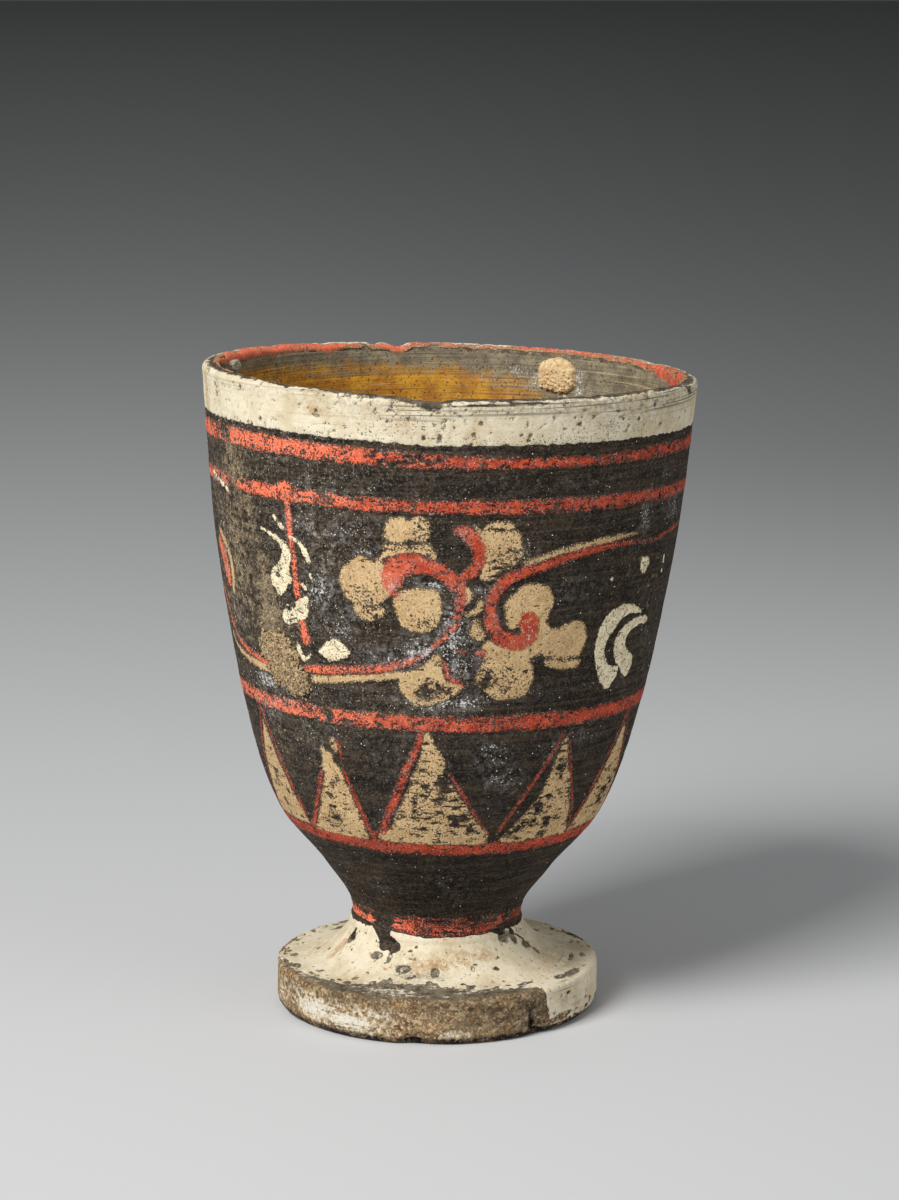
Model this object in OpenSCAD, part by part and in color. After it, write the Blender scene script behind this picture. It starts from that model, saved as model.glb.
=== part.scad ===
// Painted earthenware stem cup: a thrown bowl on a short stem and a disc foot, luted together with
// slip and painted after firing. Millimetres, +Z up, origin at the centre of the foot's underside.
// The painted front faces -Y. Angles on the wall run from the front, positive towards +X.

/* [Foot] */
// Diameter of the clay disc
foot_d = 64.7; // [50:0.1:80]
// Height of the disc's upright edge
foot_edge_h = 9; // [6:0.1:14]
// Rise of the top from the edge to the stem
foot_rise = 7; // [4:0.1:12]
// Hollowness of the rising top, where 1 is a straight cone
foot_hollow = 3; // [1.5:0.1:4]
// Radius of the rounded lower edge
foot_low_round = 1.8; // [0.5:0.1:3]
// Radius of the rounded upper edge
foot_top_round = 0.8; // [0.3:0.1:2]

/* [Stem] */
// Diameter of the stem where it stands on the foot
stem_foot_d = 35; // [28:0.1:44]
// Height of the waist above the stem's lower end
waist_up = 2.2; // [1:0.1:6]
// Diameter of the waist
waist_d = 33.5; // [26:0.1:40]
// Height of the stem's top above the waist
stem_up = 10.6; // [6:0.1:20]
// Diameter of the stem's top
stem_top_d = 45.7; // [36:0.1:56]

/* [Bowl] */
// Height of the turn, where the wall swings upwards, above the bowl's lower end
turn_up = 11; // [6:0.1:16]
// Diameter at the turn
turn_d = 64; // [52:0.1:74]
// Height of the belly above the turn
belly_up = 19; // [12:0.1:26]
// Diameter at the belly
belly_d = 77.5; // [66:0.1:88]
// Height of the upper wall above the belly
upper_up = 35; // [24:0.1:46]
// Diameter of the upper wall
upper_d = 90.8; // [80:0.1:104]
// Height of the lip's shoulder above the upper wall
lip_up = 33; // [24:0.1:44]
// Diameter at the lip
lip_d = 97.3; // [84:0.1:110]
// Height of the rounded lip above its shoulder
lip_round = 1; // [0.4:0.1:2]
// Wall thickness at the lip
lip_wall = 3.2; // [2:0.1:5]
// Wall thickness at the belly and below
belly_wall = 4.6; // [3:0.1:7]
// Thickness of the floor
floor_t = 9; // [5:0.1:14]
// Height over which the floor rounds up into the wall
floor_round = 15; // [8:0.1:22]

/* [Luting] */
// Thickness of the slip in the joints, at its thinnest
slip_t = 0.4; // [0.3:0.05:1]
// Sideways lean of the stem and the bowl on the foot, in degrees
lean = 1.4; // [0:0.1:3]

/* [Coats] */
// Thickness of a ground coat
ground_t = 0.25; // [0.15:0.01:0.4]
// Thickness of the paint on a ground coat
paint_t = 0.25; // [0.15:0.01:0.4]
// Height of the white coat round the stem's root
stem_white_h = 1.6; // [0.8:0.1:3]
// Height of the white band below the lip
rim_white_h = 7.8; // [5:0.1:12]
// Height of the red line inside the lip
lip_line_h = 1.2; // [0.6:0.1:3]

/* [Red bands] */
// Height of the band round the stem, which starts on the white coat
stem_band_h = 2.7; // [1:0.1:4]
// Height of the base band above the bowl's lower end
base_band_up = 8.2; // [5:0.1:11]
// Height of the base band
base_band_h = 2.8; // [1:0.1:4]
// Height of the belly band
belly_band_h = 2.9; // [1:0.1:4]
// Black gap between the white band and the rim band
rim_band_gap = 1.2; // [0.5:0.1:2]
// Height of the rim band
rim_band_h = 2.9; // [1:0.1:4]
// Black gap between the rim band and the shoulder band
shoulder_band_gap = 6.1; // [3:0.1:9]
// Height of the shoulder band
shoulder_band_h = 2.4; // [1:0.1:4]

/* [Triangles] */
// Height of the zone between the base band and the belly band
triangle_zone_h = 23.8; // [18:0.1:30]
// Triangles round the cup
triangle_count = 11; // [8:1:14]
// Angle of the first triangle on the wall, in degrees
triangle_turn = 1; // [-16:1:16]
// Width of a red outline
outline_w = 1.2; // [0.6:0.1:2]
// Black gap left above a triangle's point
point_gap = 0.8; // [0.3:0.1:2]
// Black gap left between two triangles, at their feet
triangle_gap = 0.6; // [0.3:0.1:2]

/* [Cloud panel] */
// Painted panels round the cup
panel_count = 2; // [1:1:2]
// Width of a red scroll
scroll_w = 2.4; // [1.4:0.1:3]
// Width of the upright divider
divider_w = 1.5; // [0.8:0.1:2.5]
// Radius of the dot on the divider
dot_r = 1.9; // [1:0.1:2.4]
// Width of a white crescent
crescent_w = 2.1; // [1:0.1:2.6]
// Width of a white brush stroke
brush_w = 1.4; // [0.8:0.1:2]

/* [Burial soil] */
// Radius of the lump on the inside wall
lump_r = 3.8; // [2:0.1:6]
// Height of the lump off the wall
lump_t = 3.4; // [1:0.1:6]
// Angle of the lump on the wall, in degrees
lump_angle = 150; // [120:1:180]
// Depth of the lump's middle below the lip's shoulder
lump_down = 4.8; // [4:0.1:12]
// Radius of the outside crust
crust_r = 4; // [2:0.1:6]
// Thickness of the outside crust
crust_t = 0.9; // [0.4:0.1:2]
// Angle of the crust on the wall, in degrees
crust_angle = -46; // [-60:1:-43]
// Height of the crust's middle above the belly band
crust_up = 5.8; // [5:0.1:8]

/* [Hidden] */
$fn = 128;

// Colours
clay_grey = "#6f6455";
slip_grey = "#8a8070";
coat_black = "#3a322c";
coat_cream = "#e4dabd";
wash_ochre = "#b5832b";
paint_red = "#c24a38";
paint_buff = "#c8a56c";
paint_white = "#e8dcc0";
soil_tan = "#b08d5e";

// Heights, measured on the axis of the stem and the bowl
foot_top = foot_edge_h + foot_rise;
stem_low = foot_top + slip_t + stem_foot_d / 2 * sin(lean);
waist_z = stem_low + waist_up;
stem_top = waist_z + stem_up;
bowl_low = stem_top + slip_t;
turn_z = bowl_low + turn_up;
belly_z = turn_z + belly_up;
upper_z = belly_z + upper_up;
lip_z = upper_z + lip_up;
floor_z = bowl_low + floor_t;

black_low = stem_low + stem_white_h;
white_low = lip_z - rim_white_h;
lip_line_low = lip_z - lip_line_h;
base_band_low = bowl_low + base_band_up;
triangle_low = base_band_low + base_band_h;
belly_band_low = triangle_low + triangle_zone_h;
panel_low = belly_band_low + belly_band_h;
rim_band_low = white_low - rim_band_gap - rim_band_h;
panel_top = rim_band_low - shoulder_band_gap - shoulder_band_h;

// The wall's outline: a smooth curve through its named diameters, level with the axis at the waist
stations = [
    [stem_low, stem_foot_d / 2],
    [waist_z, waist_d / 2],
    [stem_top, stem_top_d / 2],
    [turn_z, turn_d / 2],
    [belly_z, belly_d / 2],
    [upper_z, upper_d / 2],
    [lip_z, lip_d / 2]
];
waist_i = 1;
last_i = len(stations) - 1;
span_steps = 6;

function secant(i, j) = (stations[j][1] - stations[i][1]) / (stations[j][0] - stations[i][0]);
function slope(i) = i == waist_i ? 0 : secant(max(i - 1, 0), min(i + 1, last_i));
function hermite(i, t) =
    let (dz = stations[i + 1][0] - stations[i][0])
    (2 * t^3 - 3 * t^2 + 1) * stations[i][1]
    + (t^3 - 2 * t^2 + t) * dz * slope(i)
    + (3 * t^2 - 2 * t^3) * stations[i + 1][1]
    + (t^3 - t^2) * dz * slope(i + 1);
function span_point(i, t) = [stations[i][0] + t * (stations[i + 1][0] - stations[i][0]), hermite(i, t)];

wall_table = [
    for (i = [0 : last_i - 1]) for (k = [0 : span_steps - 1]) span_point(i, k / span_steps),
    stations[last_i]
];
thickness_table = [[belly_z, belly_wall], [lip_z, lip_wall]];

function reversed(list) = [for (i = [len(list) - 1 : -1 : 0]) list[i]];
function wall_r(z) = lookup(z, wall_table);
function inside_r(z) = wall_r(z) - lookup(z, thickness_table);
function heights(z0, z1) = [z0, for (p = wall_table) if (p[0] > z0 && p[0] < z1) p[0], z1];
function wall_line(z0, z1, out) = [for (z = heights(z0, z1)) [wall_r(z) + out, z]];
function inside_line(z0, z1, in) = [for (z = heights(z0, z1)) [inside_r(z) - in, z]];

// The rounded floor of the bowl, from the axis out to the wall, with a coat of the given thickness
floor_step = 10;
floor_end = floor_z + floor_round;
function floor_line(in) = [
    for (a = [0 : floor_step : 90 - floor_step])
        let (z = floor_z + floor_round * (1 - cos(a)))
        [max(inside_r(z) * sin(a) - in * sin(a), 0), z + in * cos(a)]
];
function cavity_line(z1, in) = concat(floor_line(in), inside_line(floor_end, z1, in));

// The foot's rising top, as heights against radius
dome_r = foot_d / 2 - foot_top_round;
root_r = stem_foot_d / 2;
dome_steps = 12;
dome_table = [
    for (k = [0 : dome_steps])
        let (s = k / dome_steps)
        [root_r + s * (dome_r - root_r), foot_edge_h + foot_rise * (1 - s)^foot_hollow]
];
function dome_line(r0, out) = [
    [r0, lookup(r0, dome_table) + out],
    for (p = dome_table) if (p[0] > r0) [p[0], p[1] + out]
];

// An arc of points round a centre
arc_step = 15;
function arc(x, y, rx, ry, a0, a1) = [
    for (k = [0 : arc_step : abs(a1 - a0)])
        let (a = a0 + k * sign(a1 - a0))
        [x + rx * cos(a), y + ry * sin(a)]
];

// A closed brush stroke of one width along points
function along(p, i) =
    let (d = p[min(i + 1, len(p) - 1)] - p[max(i - 1, 0)])
    [-d[1], d[0]] / norm(d);
function stroke_side(p, w) = [for (i = [0 : len(p) - 1]) p[i] + along(p, i) * w / 2];
function stroke(p, w) = concat(stroke_side(p, w), reversed(stroke_side(p, -w)));

// A smooth path through hand-chosen points
path_steps = 3;
function at(p, i) = p[min(max(i, 0), len(p) - 1)];
function path_point(p, i, t) =
    0.5 * (2 * p[i] + (at(p, i + 1) - at(p, i - 1)) * t
    + (2 * at(p, i - 1) - 5 * p[i] + 4 * at(p, i + 1) - at(p, i + 2)) * t^2
    + (3 * p[i] - at(p, i - 1) - 3 * at(p, i + 1) + at(p, i + 2)) * t^3);
function path(p) = [
    for (i = [0 : len(p) - 2]) for (k = [0 : path_steps - 1]) path_point(p, i, k / path_steps),
    p[len(p) - 1]
];

// Places the stem and the bowl, with their coats, on the slip that takes up their lean
module leaned() {
    translate([0, 0, stem_low])
        rotate([0, lean, 0])
            translate([0, 0, -stem_low])
                children();
}

// A coat on the outside of the wall between two heights and two depths
module wall_coat(z0, z1, out0, out1) {
    rotate_extrude()
        polygon(concat(wall_line(z0, z1, out0), reversed(wall_line(z0, z1, out1))));
}

// The layer that holds the paint, on the ground coat or on paint that is there already
module paint_layer(z0, z1, under = 0) {
    wall_coat(z0, z1, ground_t + under, ground_t + under + paint_t);
}

// Cuts a flat drawing, seen from outside at an angle on the wall, into the paint layer
module painted(z0, z1, angle = 0, under = 0) {
    intersection() {
        paint_layer(z0, z1, under);
        rotate([0, 0, angle])
            rotate([90, 0, 0])
                linear_extrude(lip_d)
                    children();
    }
}

// Drawings are made for a panel of this height and scaled to the real one
panel_drawn_h = 40;
panel_scale = (panel_top - panel_low) / panel_drawn_h;
panel_turns = [for (i = [0 : panel_count - 1]) i * 360 / panel_count];
module on_panels(angle = 0) {
    for (turn = panel_turns)
        painted(panel_low, panel_top, turn + angle)
            translate([0, panel_low])
                scale(panel_scale)
                    children();
}

// The dots of the dividers, which lie over the shoulder band
module divider_dots() {
    dot_z = panel_top + shoulder_band_h / 2;
    for (turn = panel_turns)
        painted(dot_z - dot_r, dot_z + dot_r, turn + divider_angle, paint_t)
            translate([0, dot_z])
                circle(dot_r);
}

// A disc of a drawing
module lobe(place) {
    translate([place[0], place[1]])
        circle(place[2]);
}

// A brush stroke of a drawing
module brushed(points, w) {
    polygon(stroke(path(points), w));
}

// A ring sector of a drawing
module crescent(place, w, a0, a1) {
    outer_r = place[2] + w / 2;
    inner_r = place[2] - w / 2;
    polygon(concat(
        arc(place[0], place[1], outer_r, outer_r, a0, a1),
        reversed(arc(place[0], place[1], inner_r, inner_r, a0, a1))
    ));
}

// Hand-chosen points of the cloud scroll on a panel
hook_tail = [[36, 32.4], [31, 32.3], [23.2, 31], [15.8, 29], [11.8, 27], [9.6, 24.4]];
hook_curl = [[8.6, 22], [8.5, 18.8], [10.3, 15.9], [13.6, 14.5], [16.4, 15.8], [16.9, 18.3]];
upper_stem = [[2.2, 37], [5.6, 35], [6.9, 32], [4.8, 28.6], [2.5, 26]];
left_curl = [[-12, 25], [-11.2, 29.2], [-7.4, 31.2], [-1.6, 29.6], [2.5, 26]];
lower_line = [[2.5, 26], [2.4, 21.6], [1.4, 18], [-3.8, 12.8], [-9, 10.2], [-18.6, 8.3], [-25, 7.5]];
buff_line = [[-25, 5.6], [-18.6, 6], [-10, 7.4]];
upper_patch = [[6.6, 36.8], [13, 37.6], [12.6, 31.2], [8.8, 28.4], [6, 28]];

// Round lobes of the clouds: across, up and radius
cloud_lobes = [
    [-8, 36, 3.3], [-15.8, 25.9, 4.4], [-5, 21.7, 4.4], [-3, 6.6, 4.8],
    [15.7, 23, 4.8], [24, 14.8, 3.7], [12, 8.5, 5.2], [18.6, 13, 4.2]
];

// White crescents, across, up and radius, and the dab above them, seen from their own place on the wall
crescent_angle = 52;
outer_crescent = [1.4, 12, 8.4];
outer_from = 75;
outer_to = 255;
inner_crescent = [5.4, 11.2, 6];
inner_from = 90;
inner_to = 240;
white_dab = [4, 27.3, 1.2];

// The divider's lower and upper end, and the white strokes and blobs beside it
divider_angle = -39;
divider_low = 12.6;
divider_top = 38;
left_stroke = [[-7.8, 33.6], [-4.6, 32.2], [-2.2, 30.8], [-1.8, 28.6]];
upper_stroke = [[-4.3, 36.6], [-3, 35.8], [-1.8, 34.8]];
right_stroke = [[1.6, 32.4], [2.8, 31], [4, 29.4]];
white_blobs = [[-3.2, 26.6, 2.1], [-3, 19.4, 2], [8, 12, 2.4]];

module scroll_drawing() {
    brushed(concat(hook_tail, hook_curl), scroll_w);
    brushed(upper_stem, scroll_w);
    brushed(concat(left_curl, [for (i = [1 : len(lower_line) - 1]) lower_line[i]]), scroll_w);
}

module cloud_drawing() {
    for (place = cloud_lobes)
        lobe(place);
    polygon(upper_patch);
    brushed(buff_line, brush_w);
}

module triangle_drawing(half_w, h) {
    polygon([[-half_w, 0], [half_w, 0], [0, h]]);
}

// One triangle's half width at its feet, its height, and the narrowing that its outline takes
triangle_half = wall_r(triangle_low) * sin(180 / triangle_count) - triangle_gap / 2;
triangle_h = triangle_zone_h - point_gap;
outline_slant = outline_w * norm([triangle_half, triangle_h]) / triangle_h;
inner_half = triangle_half - outline_slant;
inner_h = triangle_h * inner_half / triangle_half;

module on_triangles() {
    for (i = [0 : triangle_count - 1])
        painted(triangle_low, belly_band_low, triangle_turn + i * 360 / triangle_count)
            translate([0, triangle_low])
                children();
}

module bowl() {
    lip_mid = lip_d / 2 - lip_wall / 2;
    color(clay_grey)
        leaned()
            rotate_extrude()
                polygon(concat(
                    [[0, bowl_low]],
                    wall_line(bowl_low, lip_z, 0),
                    arc(lip_mid, lip_z, lip_wall / 2, lip_round, arc_step, 180 - arc_step),
                    reversed(cavity_line(lip_z, 0))
                ));
}

module stem() {
    color(clay_grey)
        leaned()
            rotate_extrude()
                polygon(concat([[0, stem_low]], wall_line(stem_low, stem_top, 0), [[0, stem_top]]));
}

module foot() {
    low_r = foot_d / 2 - foot_low_round;
    edge_top = foot_edge_h - foot_top_round;
    color(clay_grey)
        rotate_extrude()
            polygon(concat(
                [[0, 0]],
                arc(low_r, foot_low_round, foot_low_round, foot_low_round, -90, 0),
                arc(dome_r, edge_top, foot_top_round, foot_top_round, 0, 90 - arc_step),
                reversed(dome_line(root_r, 0)),
                [[0, foot_top]]
            ));
}

module bowl_luting_slip() {
    color(slip_grey)
        leaned()
            rotate_extrude()
                polygon(concat([[0, stem_top]], wall_line(stem_top, bowl_low, 0), [[0, bowl_low]]));
}

module foot_luting_slip() {
    color(slip_grey)
        difference() {
            translate([0, 0, foot_top])
                cylinder(d = stem_foot_d, h = foot_d);
            leaned()
                translate([-foot_d, -foot_d, stem_low])
                    cube([2 * foot_d, 2 * foot_d, 2 * foot_d]);
        }
}

module black_ground() {
    color(coat_black)
        leaned()
            wall_coat(black_low, white_low, 0, ground_t);
}

module rim_white_band() {
    color(coat_cream)
        leaned()
            wall_coat(white_low, lip_z, 0, ground_t);
}

module foot_white_coat() {
    coat_r = root_r + ground_t;
    color(coat_cream)
        rotate_extrude()
            polygon(concat(dome_line(coat_r, 0), reversed(dome_line(coat_r, ground_t))));
}

module stem_white_coat() {
    color(coat_cream)
        leaned()
            wall_coat(stem_low, black_low, 0, ground_t);
}

module inside_ochre_wash() {
    color(wash_ochre)
        leaned()
            rotate_extrude()
                polygon(concat(cavity_line(lip_line_low, 0), reversed(cavity_line(lip_line_low, ground_t))));
}

module lip_red_line() {
    color(paint_red)
        leaned()
            rotate_extrude()
                polygon(concat(
                    inside_line(lip_line_low, lip_z, 0),
                    reversed(inside_line(lip_line_low, lip_z, ground_t))
                ));
}

module red_band(z0, h) {
    color(paint_red)
        leaned()
            paint_layer(z0, z0 + h);
}

module rim_red_band() {
    red_band(rim_band_low, rim_band_h);
}

module shoulder_red_band() {
    red_band(panel_top, shoulder_band_h);
}

module belly_red_band() {
    red_band(belly_band_low, belly_band_h);
}

module base_red_band() {
    red_band(base_band_low, base_band_h);
}

module stem_red_band() {
    red_band(black_low, stem_band_h);
}

module triangles_buff() {
    color(paint_buff)
        leaned()
            on_triangles()
                triangle_drawing(inner_half, inner_h);
}

module triangles_red_outline() {
    color(paint_red)
        leaned()
            on_triangles()
                difference() {
                    triangle_drawing(triangle_half, triangle_h);
                    triangle_drawing(inner_half, inner_h);
                }
}

module clouds_buff() {
    color(paint_buff)
        leaned()
            on_panels()
                difference() {
                    cloud_drawing();
                    scroll_drawing();
                }
}

module clouds_red_scroll() {
    color(paint_red)
        leaned()
            on_panels()
                scroll_drawing();
}

module crescents_white() {
    color(paint_white)
        leaned()
            on_panels(crescent_angle) {
                crescent(outer_crescent, crescent_w, outer_from, outer_to);
                crescent(inner_crescent, crescent_w, inner_from, inner_to);
                lobe(white_dab);
            }
}

module divider_drawing() {
    translate([-divider_w / 2, divider_low])
        square([divider_w, divider_top - divider_low]);
}

module strokes_white() {
    color(paint_white)
        leaned()
            on_panels(divider_angle) {
                brushed(left_stroke, brush_w);
                brushed(upper_stroke, brush_w);
                brushed(right_stroke, brush_w);
                for (place = white_blobs)
                    lobe(place);
            }
}

module divider_red() {
    color(paint_red)
        leaned() {
            on_panels(divider_angle)
                divider_drawing();
            divider_dots();
        }
}

// A round mound on a plug that reaches back into the wall
module mound(r, h) {
    rotate_extrude()
        polygon(concat([[0, -r], [r, -r]], arc(0, 0, r, h, 0, 90)));
}

module soil_lump() {
    color(soil_tan)
        leaned()
            intersection() {
                rotate([0, 0, lump_angle])
                    translate([0, -inside_r(lip_z - lump_down), lip_z - lump_down])
                        rotate([-90, 0, 0])
                            mound(lump_r, lump_t);
                rotate_extrude()
                    polygon(concat(
                        [[0, floor_end]],
                        inside_line(floor_end, lip_line_low, ground_t),
                        [[0, lip_line_low]]
                    ));
            }
}

module soil_crust() {
    color(soil_tan)
        leaned()
            intersection() {
                wall_coat(panel_low, panel_top, ground_t, ground_t + crust_t);
                rotate([0, 0, crust_angle])
                    translate([0, 0, panel_low + crust_up])
                        rotate([90, 0, 0])
                            cylinder(r = crust_r, h = lip_d);
            }
}

bowl();
stem();
foot();
bowl_luting_slip();
foot_luting_slip();
black_ground();
rim_white_band();
foot_white_coat();
stem_white_coat();
inside_ochre_wash();
lip_red_line();
rim_red_band();
shoulder_red_band();
belly_red_band();
base_red_band();
stem_red_band();
triangles_buff();
triangles_red_outline();
clouds_buff();
clouds_red_scroll();
crescents_white();
strokes_white();
divider_red();
soil_lump();
soil_crust();
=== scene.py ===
"""Looks of a painted earthenware stem cup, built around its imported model.

Lengths on the cup are in millimetres and angles on its wall in degrees from the front, positive
towards +X. Meshes are made in metres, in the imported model's frame.
"""

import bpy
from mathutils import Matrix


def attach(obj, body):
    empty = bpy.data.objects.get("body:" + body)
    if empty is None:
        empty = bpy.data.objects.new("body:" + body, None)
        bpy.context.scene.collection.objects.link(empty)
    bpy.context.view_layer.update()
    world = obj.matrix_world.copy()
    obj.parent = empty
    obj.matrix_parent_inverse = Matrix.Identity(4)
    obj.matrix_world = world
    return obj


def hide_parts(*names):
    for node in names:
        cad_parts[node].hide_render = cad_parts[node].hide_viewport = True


bl_info = {
    "name": "Painted Stem Cup",
    "version": (1, 0, 0),
    "blender": (4, 5, 0),
    "location": "3D View > Sidebar > Stem Cup",
    "description": "Dresses a stem cup with its clay, coats, paint and burial soil",
    "category": "Object",
}

import math

import bpy
import numpy as np
from mathutils import Vector

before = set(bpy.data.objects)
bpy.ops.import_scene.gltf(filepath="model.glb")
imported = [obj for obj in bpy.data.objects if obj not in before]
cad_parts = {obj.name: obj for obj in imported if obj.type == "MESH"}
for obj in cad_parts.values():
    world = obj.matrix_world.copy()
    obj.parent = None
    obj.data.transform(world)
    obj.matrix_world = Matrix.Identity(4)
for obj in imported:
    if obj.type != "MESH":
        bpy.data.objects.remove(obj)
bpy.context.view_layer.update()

MM = 0.001
BODY = "root"

# Heights and radii of the clay wall, from the stem's lower end to the lip's shoulder
WALL = ((16.83, 17.5), (19.03, 16.75), (29.63, 22.85), (41.03, 32.0), (60.03, 38.75), (95.03, 45.4), (128.03, 48.65))
WAIST = 1
STEM_LOW, BOWL_LOW, FLOOR_Z, BELLY_Z, LIP_Z = 16.83, 30.03, 39.03, 60.03, 128.03
LIP_RISE, LIP_WALL, BELLY_WALL, FLOOR_ROUND = 1.0, 3.2, 4.6, 15.0
FOOT_R, FOOT_EDGE, FOOT_RISE, FOOT_LOW_ROUND, FOOT_TOP_ROUND, ROOT_R = 32.35, 9.0, 7.0, 1.8, 0.8, 17.5
FOOT_HOLLOW = 3.0
BLACK_LOW, WHITE_LOW = 18.43, 120.2
PANELS = (0, 180)

# Radii at which angles on a surface are turned into lengths
NOISE_R, SPOT_R, PANEL_R, RIM_R, DOT_R = 45.0, 44.0, 44.5, 48.5, 47.0
TRIANGLE_R, DEEP_R, STEM_R, DRIP_R, COAT_R = 36.5, 34.0, 17.3, 17.4, 24.0

# Steps round the cup in each mesh
PANEL_COLUMNS, RIM_COLUMNS, LIP_COLUMNS, STEM_COLUMNS, SMEAR_COLUMNS = 960, 1200, 1020, 480, 480
BOWL_COLUMNS, FOOT_COLUMNS, BLACK_COLUMNS, COAT_COLUMNS, DRIP_COLUMNS, WASH_COLUMNS = 560, 720, 400, 700, 900, 420

# A drawing's cell, how far frayed paint goes past its drawing, how deep a sheet's back lies in the wall,
# and the depths that stand for bare wall and for the far side of a closed edge
CELL, FRAY, THICK_FRAY, SHEET_BACK = 0.3, 0.3, 0.1, 0.12
BARE, OFF_EDGE = -9.0, -0.05


# Shared shaping

def smooth(a, b, x):
    """A soft step from 0 at a to 1 at b."""
    t = np.clip((np.asarray(x, float) - a) / (b - a), 0, 1)
    return t * t * (3 - 2 * t)


def columns_of(*values):
    """Arrays side by side, as the columns of one."""
    return np.stack(values, 1)


def twice(values):
    """Values for the front and again for the back of a sheet."""
    return np.concatenate([values, values])


def turn_from(phi, centre):
    """Angles from a centre, between -180 and 180 degrees."""
    return (np.asarray(phi, float) - centre + 180) % 360 - 180


def lattice(x, y, z, seed):
    """A fixed random number from 0 to 1 for each whole-number place."""
    h = x.astype(np.uint32) * np.uint32(73856093)
    h ^= y.astype(np.uint32) * np.uint32(19349663)
    h ^= z.astype(np.uint32) * np.uint32(83492791)
    h ^= np.uint32(seed * 97531 + 12345)
    h = (h ^ (h >> np.uint32(13))) * np.uint32(1540483477)
    h = (h ^ (h >> np.uint32(15))) * np.uint32(2246822519)
    return ((h >> np.uint32(8)) & np.uint32(0xFFFF)) / 65535.0


def value_noise(x, y, z, seed):
    """Smooth noise from 0 to 1 at places in space."""
    cell = [np.floor(v).astype(np.int64) for v in (x, y, z)]
    part = [v - c for v, c in zip((x, y, z), cell)]
    fx, fy, fz = [p * p * p * (p * (p * 6 - 15) + 10) for p in part]
    total = 0
    for i in (0, 1):
        for j in (0, 1):
            for k in (0, 1):
                share = (fx if i else 1 - fx) * (fy if j else 1 - fy) * (fz if k else 1 - fz)
                total = total + share * lattice(cell[0] + i, cell[1] + j, cell[2] + k, seed)
    return total


def wall_noise(phi, z, across, up, seed, octaves=3, radius=NOISE_R):
    """Noise from about 0 to 1 on the wall, with grains of a width and a height, unbroken at the seam."""
    a = np.radians(phi)
    x, y, w = radius * np.sin(a) / across, radius * np.cos(a) / across, np.asarray(z, float) / up
    total, weight = 0, 0
    for k in range(octaves):
        total = total + value_noise(x * 2**k, y * 2**k, w * 2**k, seed + 17 * k) / 2**k
        weight += 1 / 2**k
    return np.clip((total / weight - 0.5) * 1.5 + 0.5, 0, 1)


def round_the_cup(phi, stops):
    """A value that follows stops of angle and value round the cup."""
    stops = sorted(stops)
    angles, values = (list(part) for part in zip(*stops))
    angles = [angles[-1] - 360] + angles + [angles[0] + 360]
    values = [values[-1]] + values + [values[0]]
    return np.interp(turn_from(phi, 0), angles, values)


def spots(phi, z, places, radius=SPOT_R):
    """Soft patches: each place has an angle, a height, a half width, a half height and a strength."""
    total = 0 * (np.asarray(phi, float) + z)
    for angle, height, wide, tall, strength in places:
        u = np.radians(turn_from(phi, angle)) * radius / wide
        v = (z - height) / tall
        total = np.maximum(total, strength * np.exp(-(u * u + v * v)))
    return total


def patches(places, radius=SPOT_R):
    """Soft patches as a mark on a sheet."""
    return lambda phi, s, r, z: spots(phi, z, places, radius)


# Outlines that the cup's surfaces are spun from

def wall_radius(z):
    """Radius of the clay wall at a height."""
    zs, rs = np.array(WALL).T
    last = len(zs) - 1
    here = np.arange(last + 1)
    before, after = np.maximum(here - 1, 0), np.minimum(here + 1, last)
    slope = (rs[after] - rs[before]) / (zs[after] - zs[before])
    slope[WAIST] = 0
    z = np.clip(np.asarray(z, float), zs[0], zs[-1])
    i = np.clip(np.searchsorted(zs, z, side="right") - 1, 0, last - 1)
    dz = zs[i + 1] - zs[i]
    t = (z - zs[i]) / dz
    return (
        (2 * t**3 - 3 * t**2 + 1) * rs[i] + (t**3 - 2 * t**2 + t) * dz * slope[i]
        + (3 * t**2 - 2 * t**3) * rs[i + 1] + (t**3 - t**2) * dz * slope[i + 1]
    )


def inside_radius(z):
    """Radius of the bowl's inner wall at a height."""
    return wall_radius(z) - np.interp(z, (BELLY_Z, LIP_Z), (BELLY_WALL, LIP_WALL))


def run_along(points):
    """The length along a line of points, at each of them."""
    return np.concatenate([[0], np.cumsum(np.hypot(*np.diff(points, axis=0).T))])


class Outline:
    """A line of radius and height with its outward side, followed by a running measure."""

    def __init__(self, points, measure=None):
        self.points = np.asarray(points, float)
        self.measure = run_along(self.points) if measure is None else np.asarray(measure, float)
        along = np.gradient(self.points, self.measure, axis=0)
        out = columns_of(along[:, 1], -along[:, 0])
        self.out = out / np.linalg.norm(out, axis=1)[:, None]

    def at(self, s):
        """Radius, height and the two parts of the outward side at a measure."""
        r, z = (np.interp(s, self.measure, self.points[:, k]) for k in (0, 1))
        nr, nz = (np.interp(s, self.measure, self.out[:, k]) for k in (0, 1))
        return r, z, nr, nz


def wall_points(z):
    """Points of the outer wall at some heights."""
    return columns_of(wall_radius(z), z)


def outer_wall():
    """The wall from the stem to the lip's shoulder, measured by its height."""
    z = np.arange(STEM_LOW, LIP_Z + 0.01, 0.2)
    return Outline(wall_points(z), z)


def arc(middle, half, turns):
    """Points of an arc round a middle, with its half sizes, at angles in degrees."""
    a = np.radians(turns)
    return columns_of(middle[0] + half[0] * np.cos(a), middle[1] + half[1] * np.sin(a))


def lip_arc(turn, count):
    """Over the lip from its outer shoulder, as far as a turn."""
    return arc((WALL[-1][1] - LIP_WALL / 2, LIP_Z), (LIP_WALL / 2, LIP_RISE), np.linspace(0, turn, count))


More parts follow.
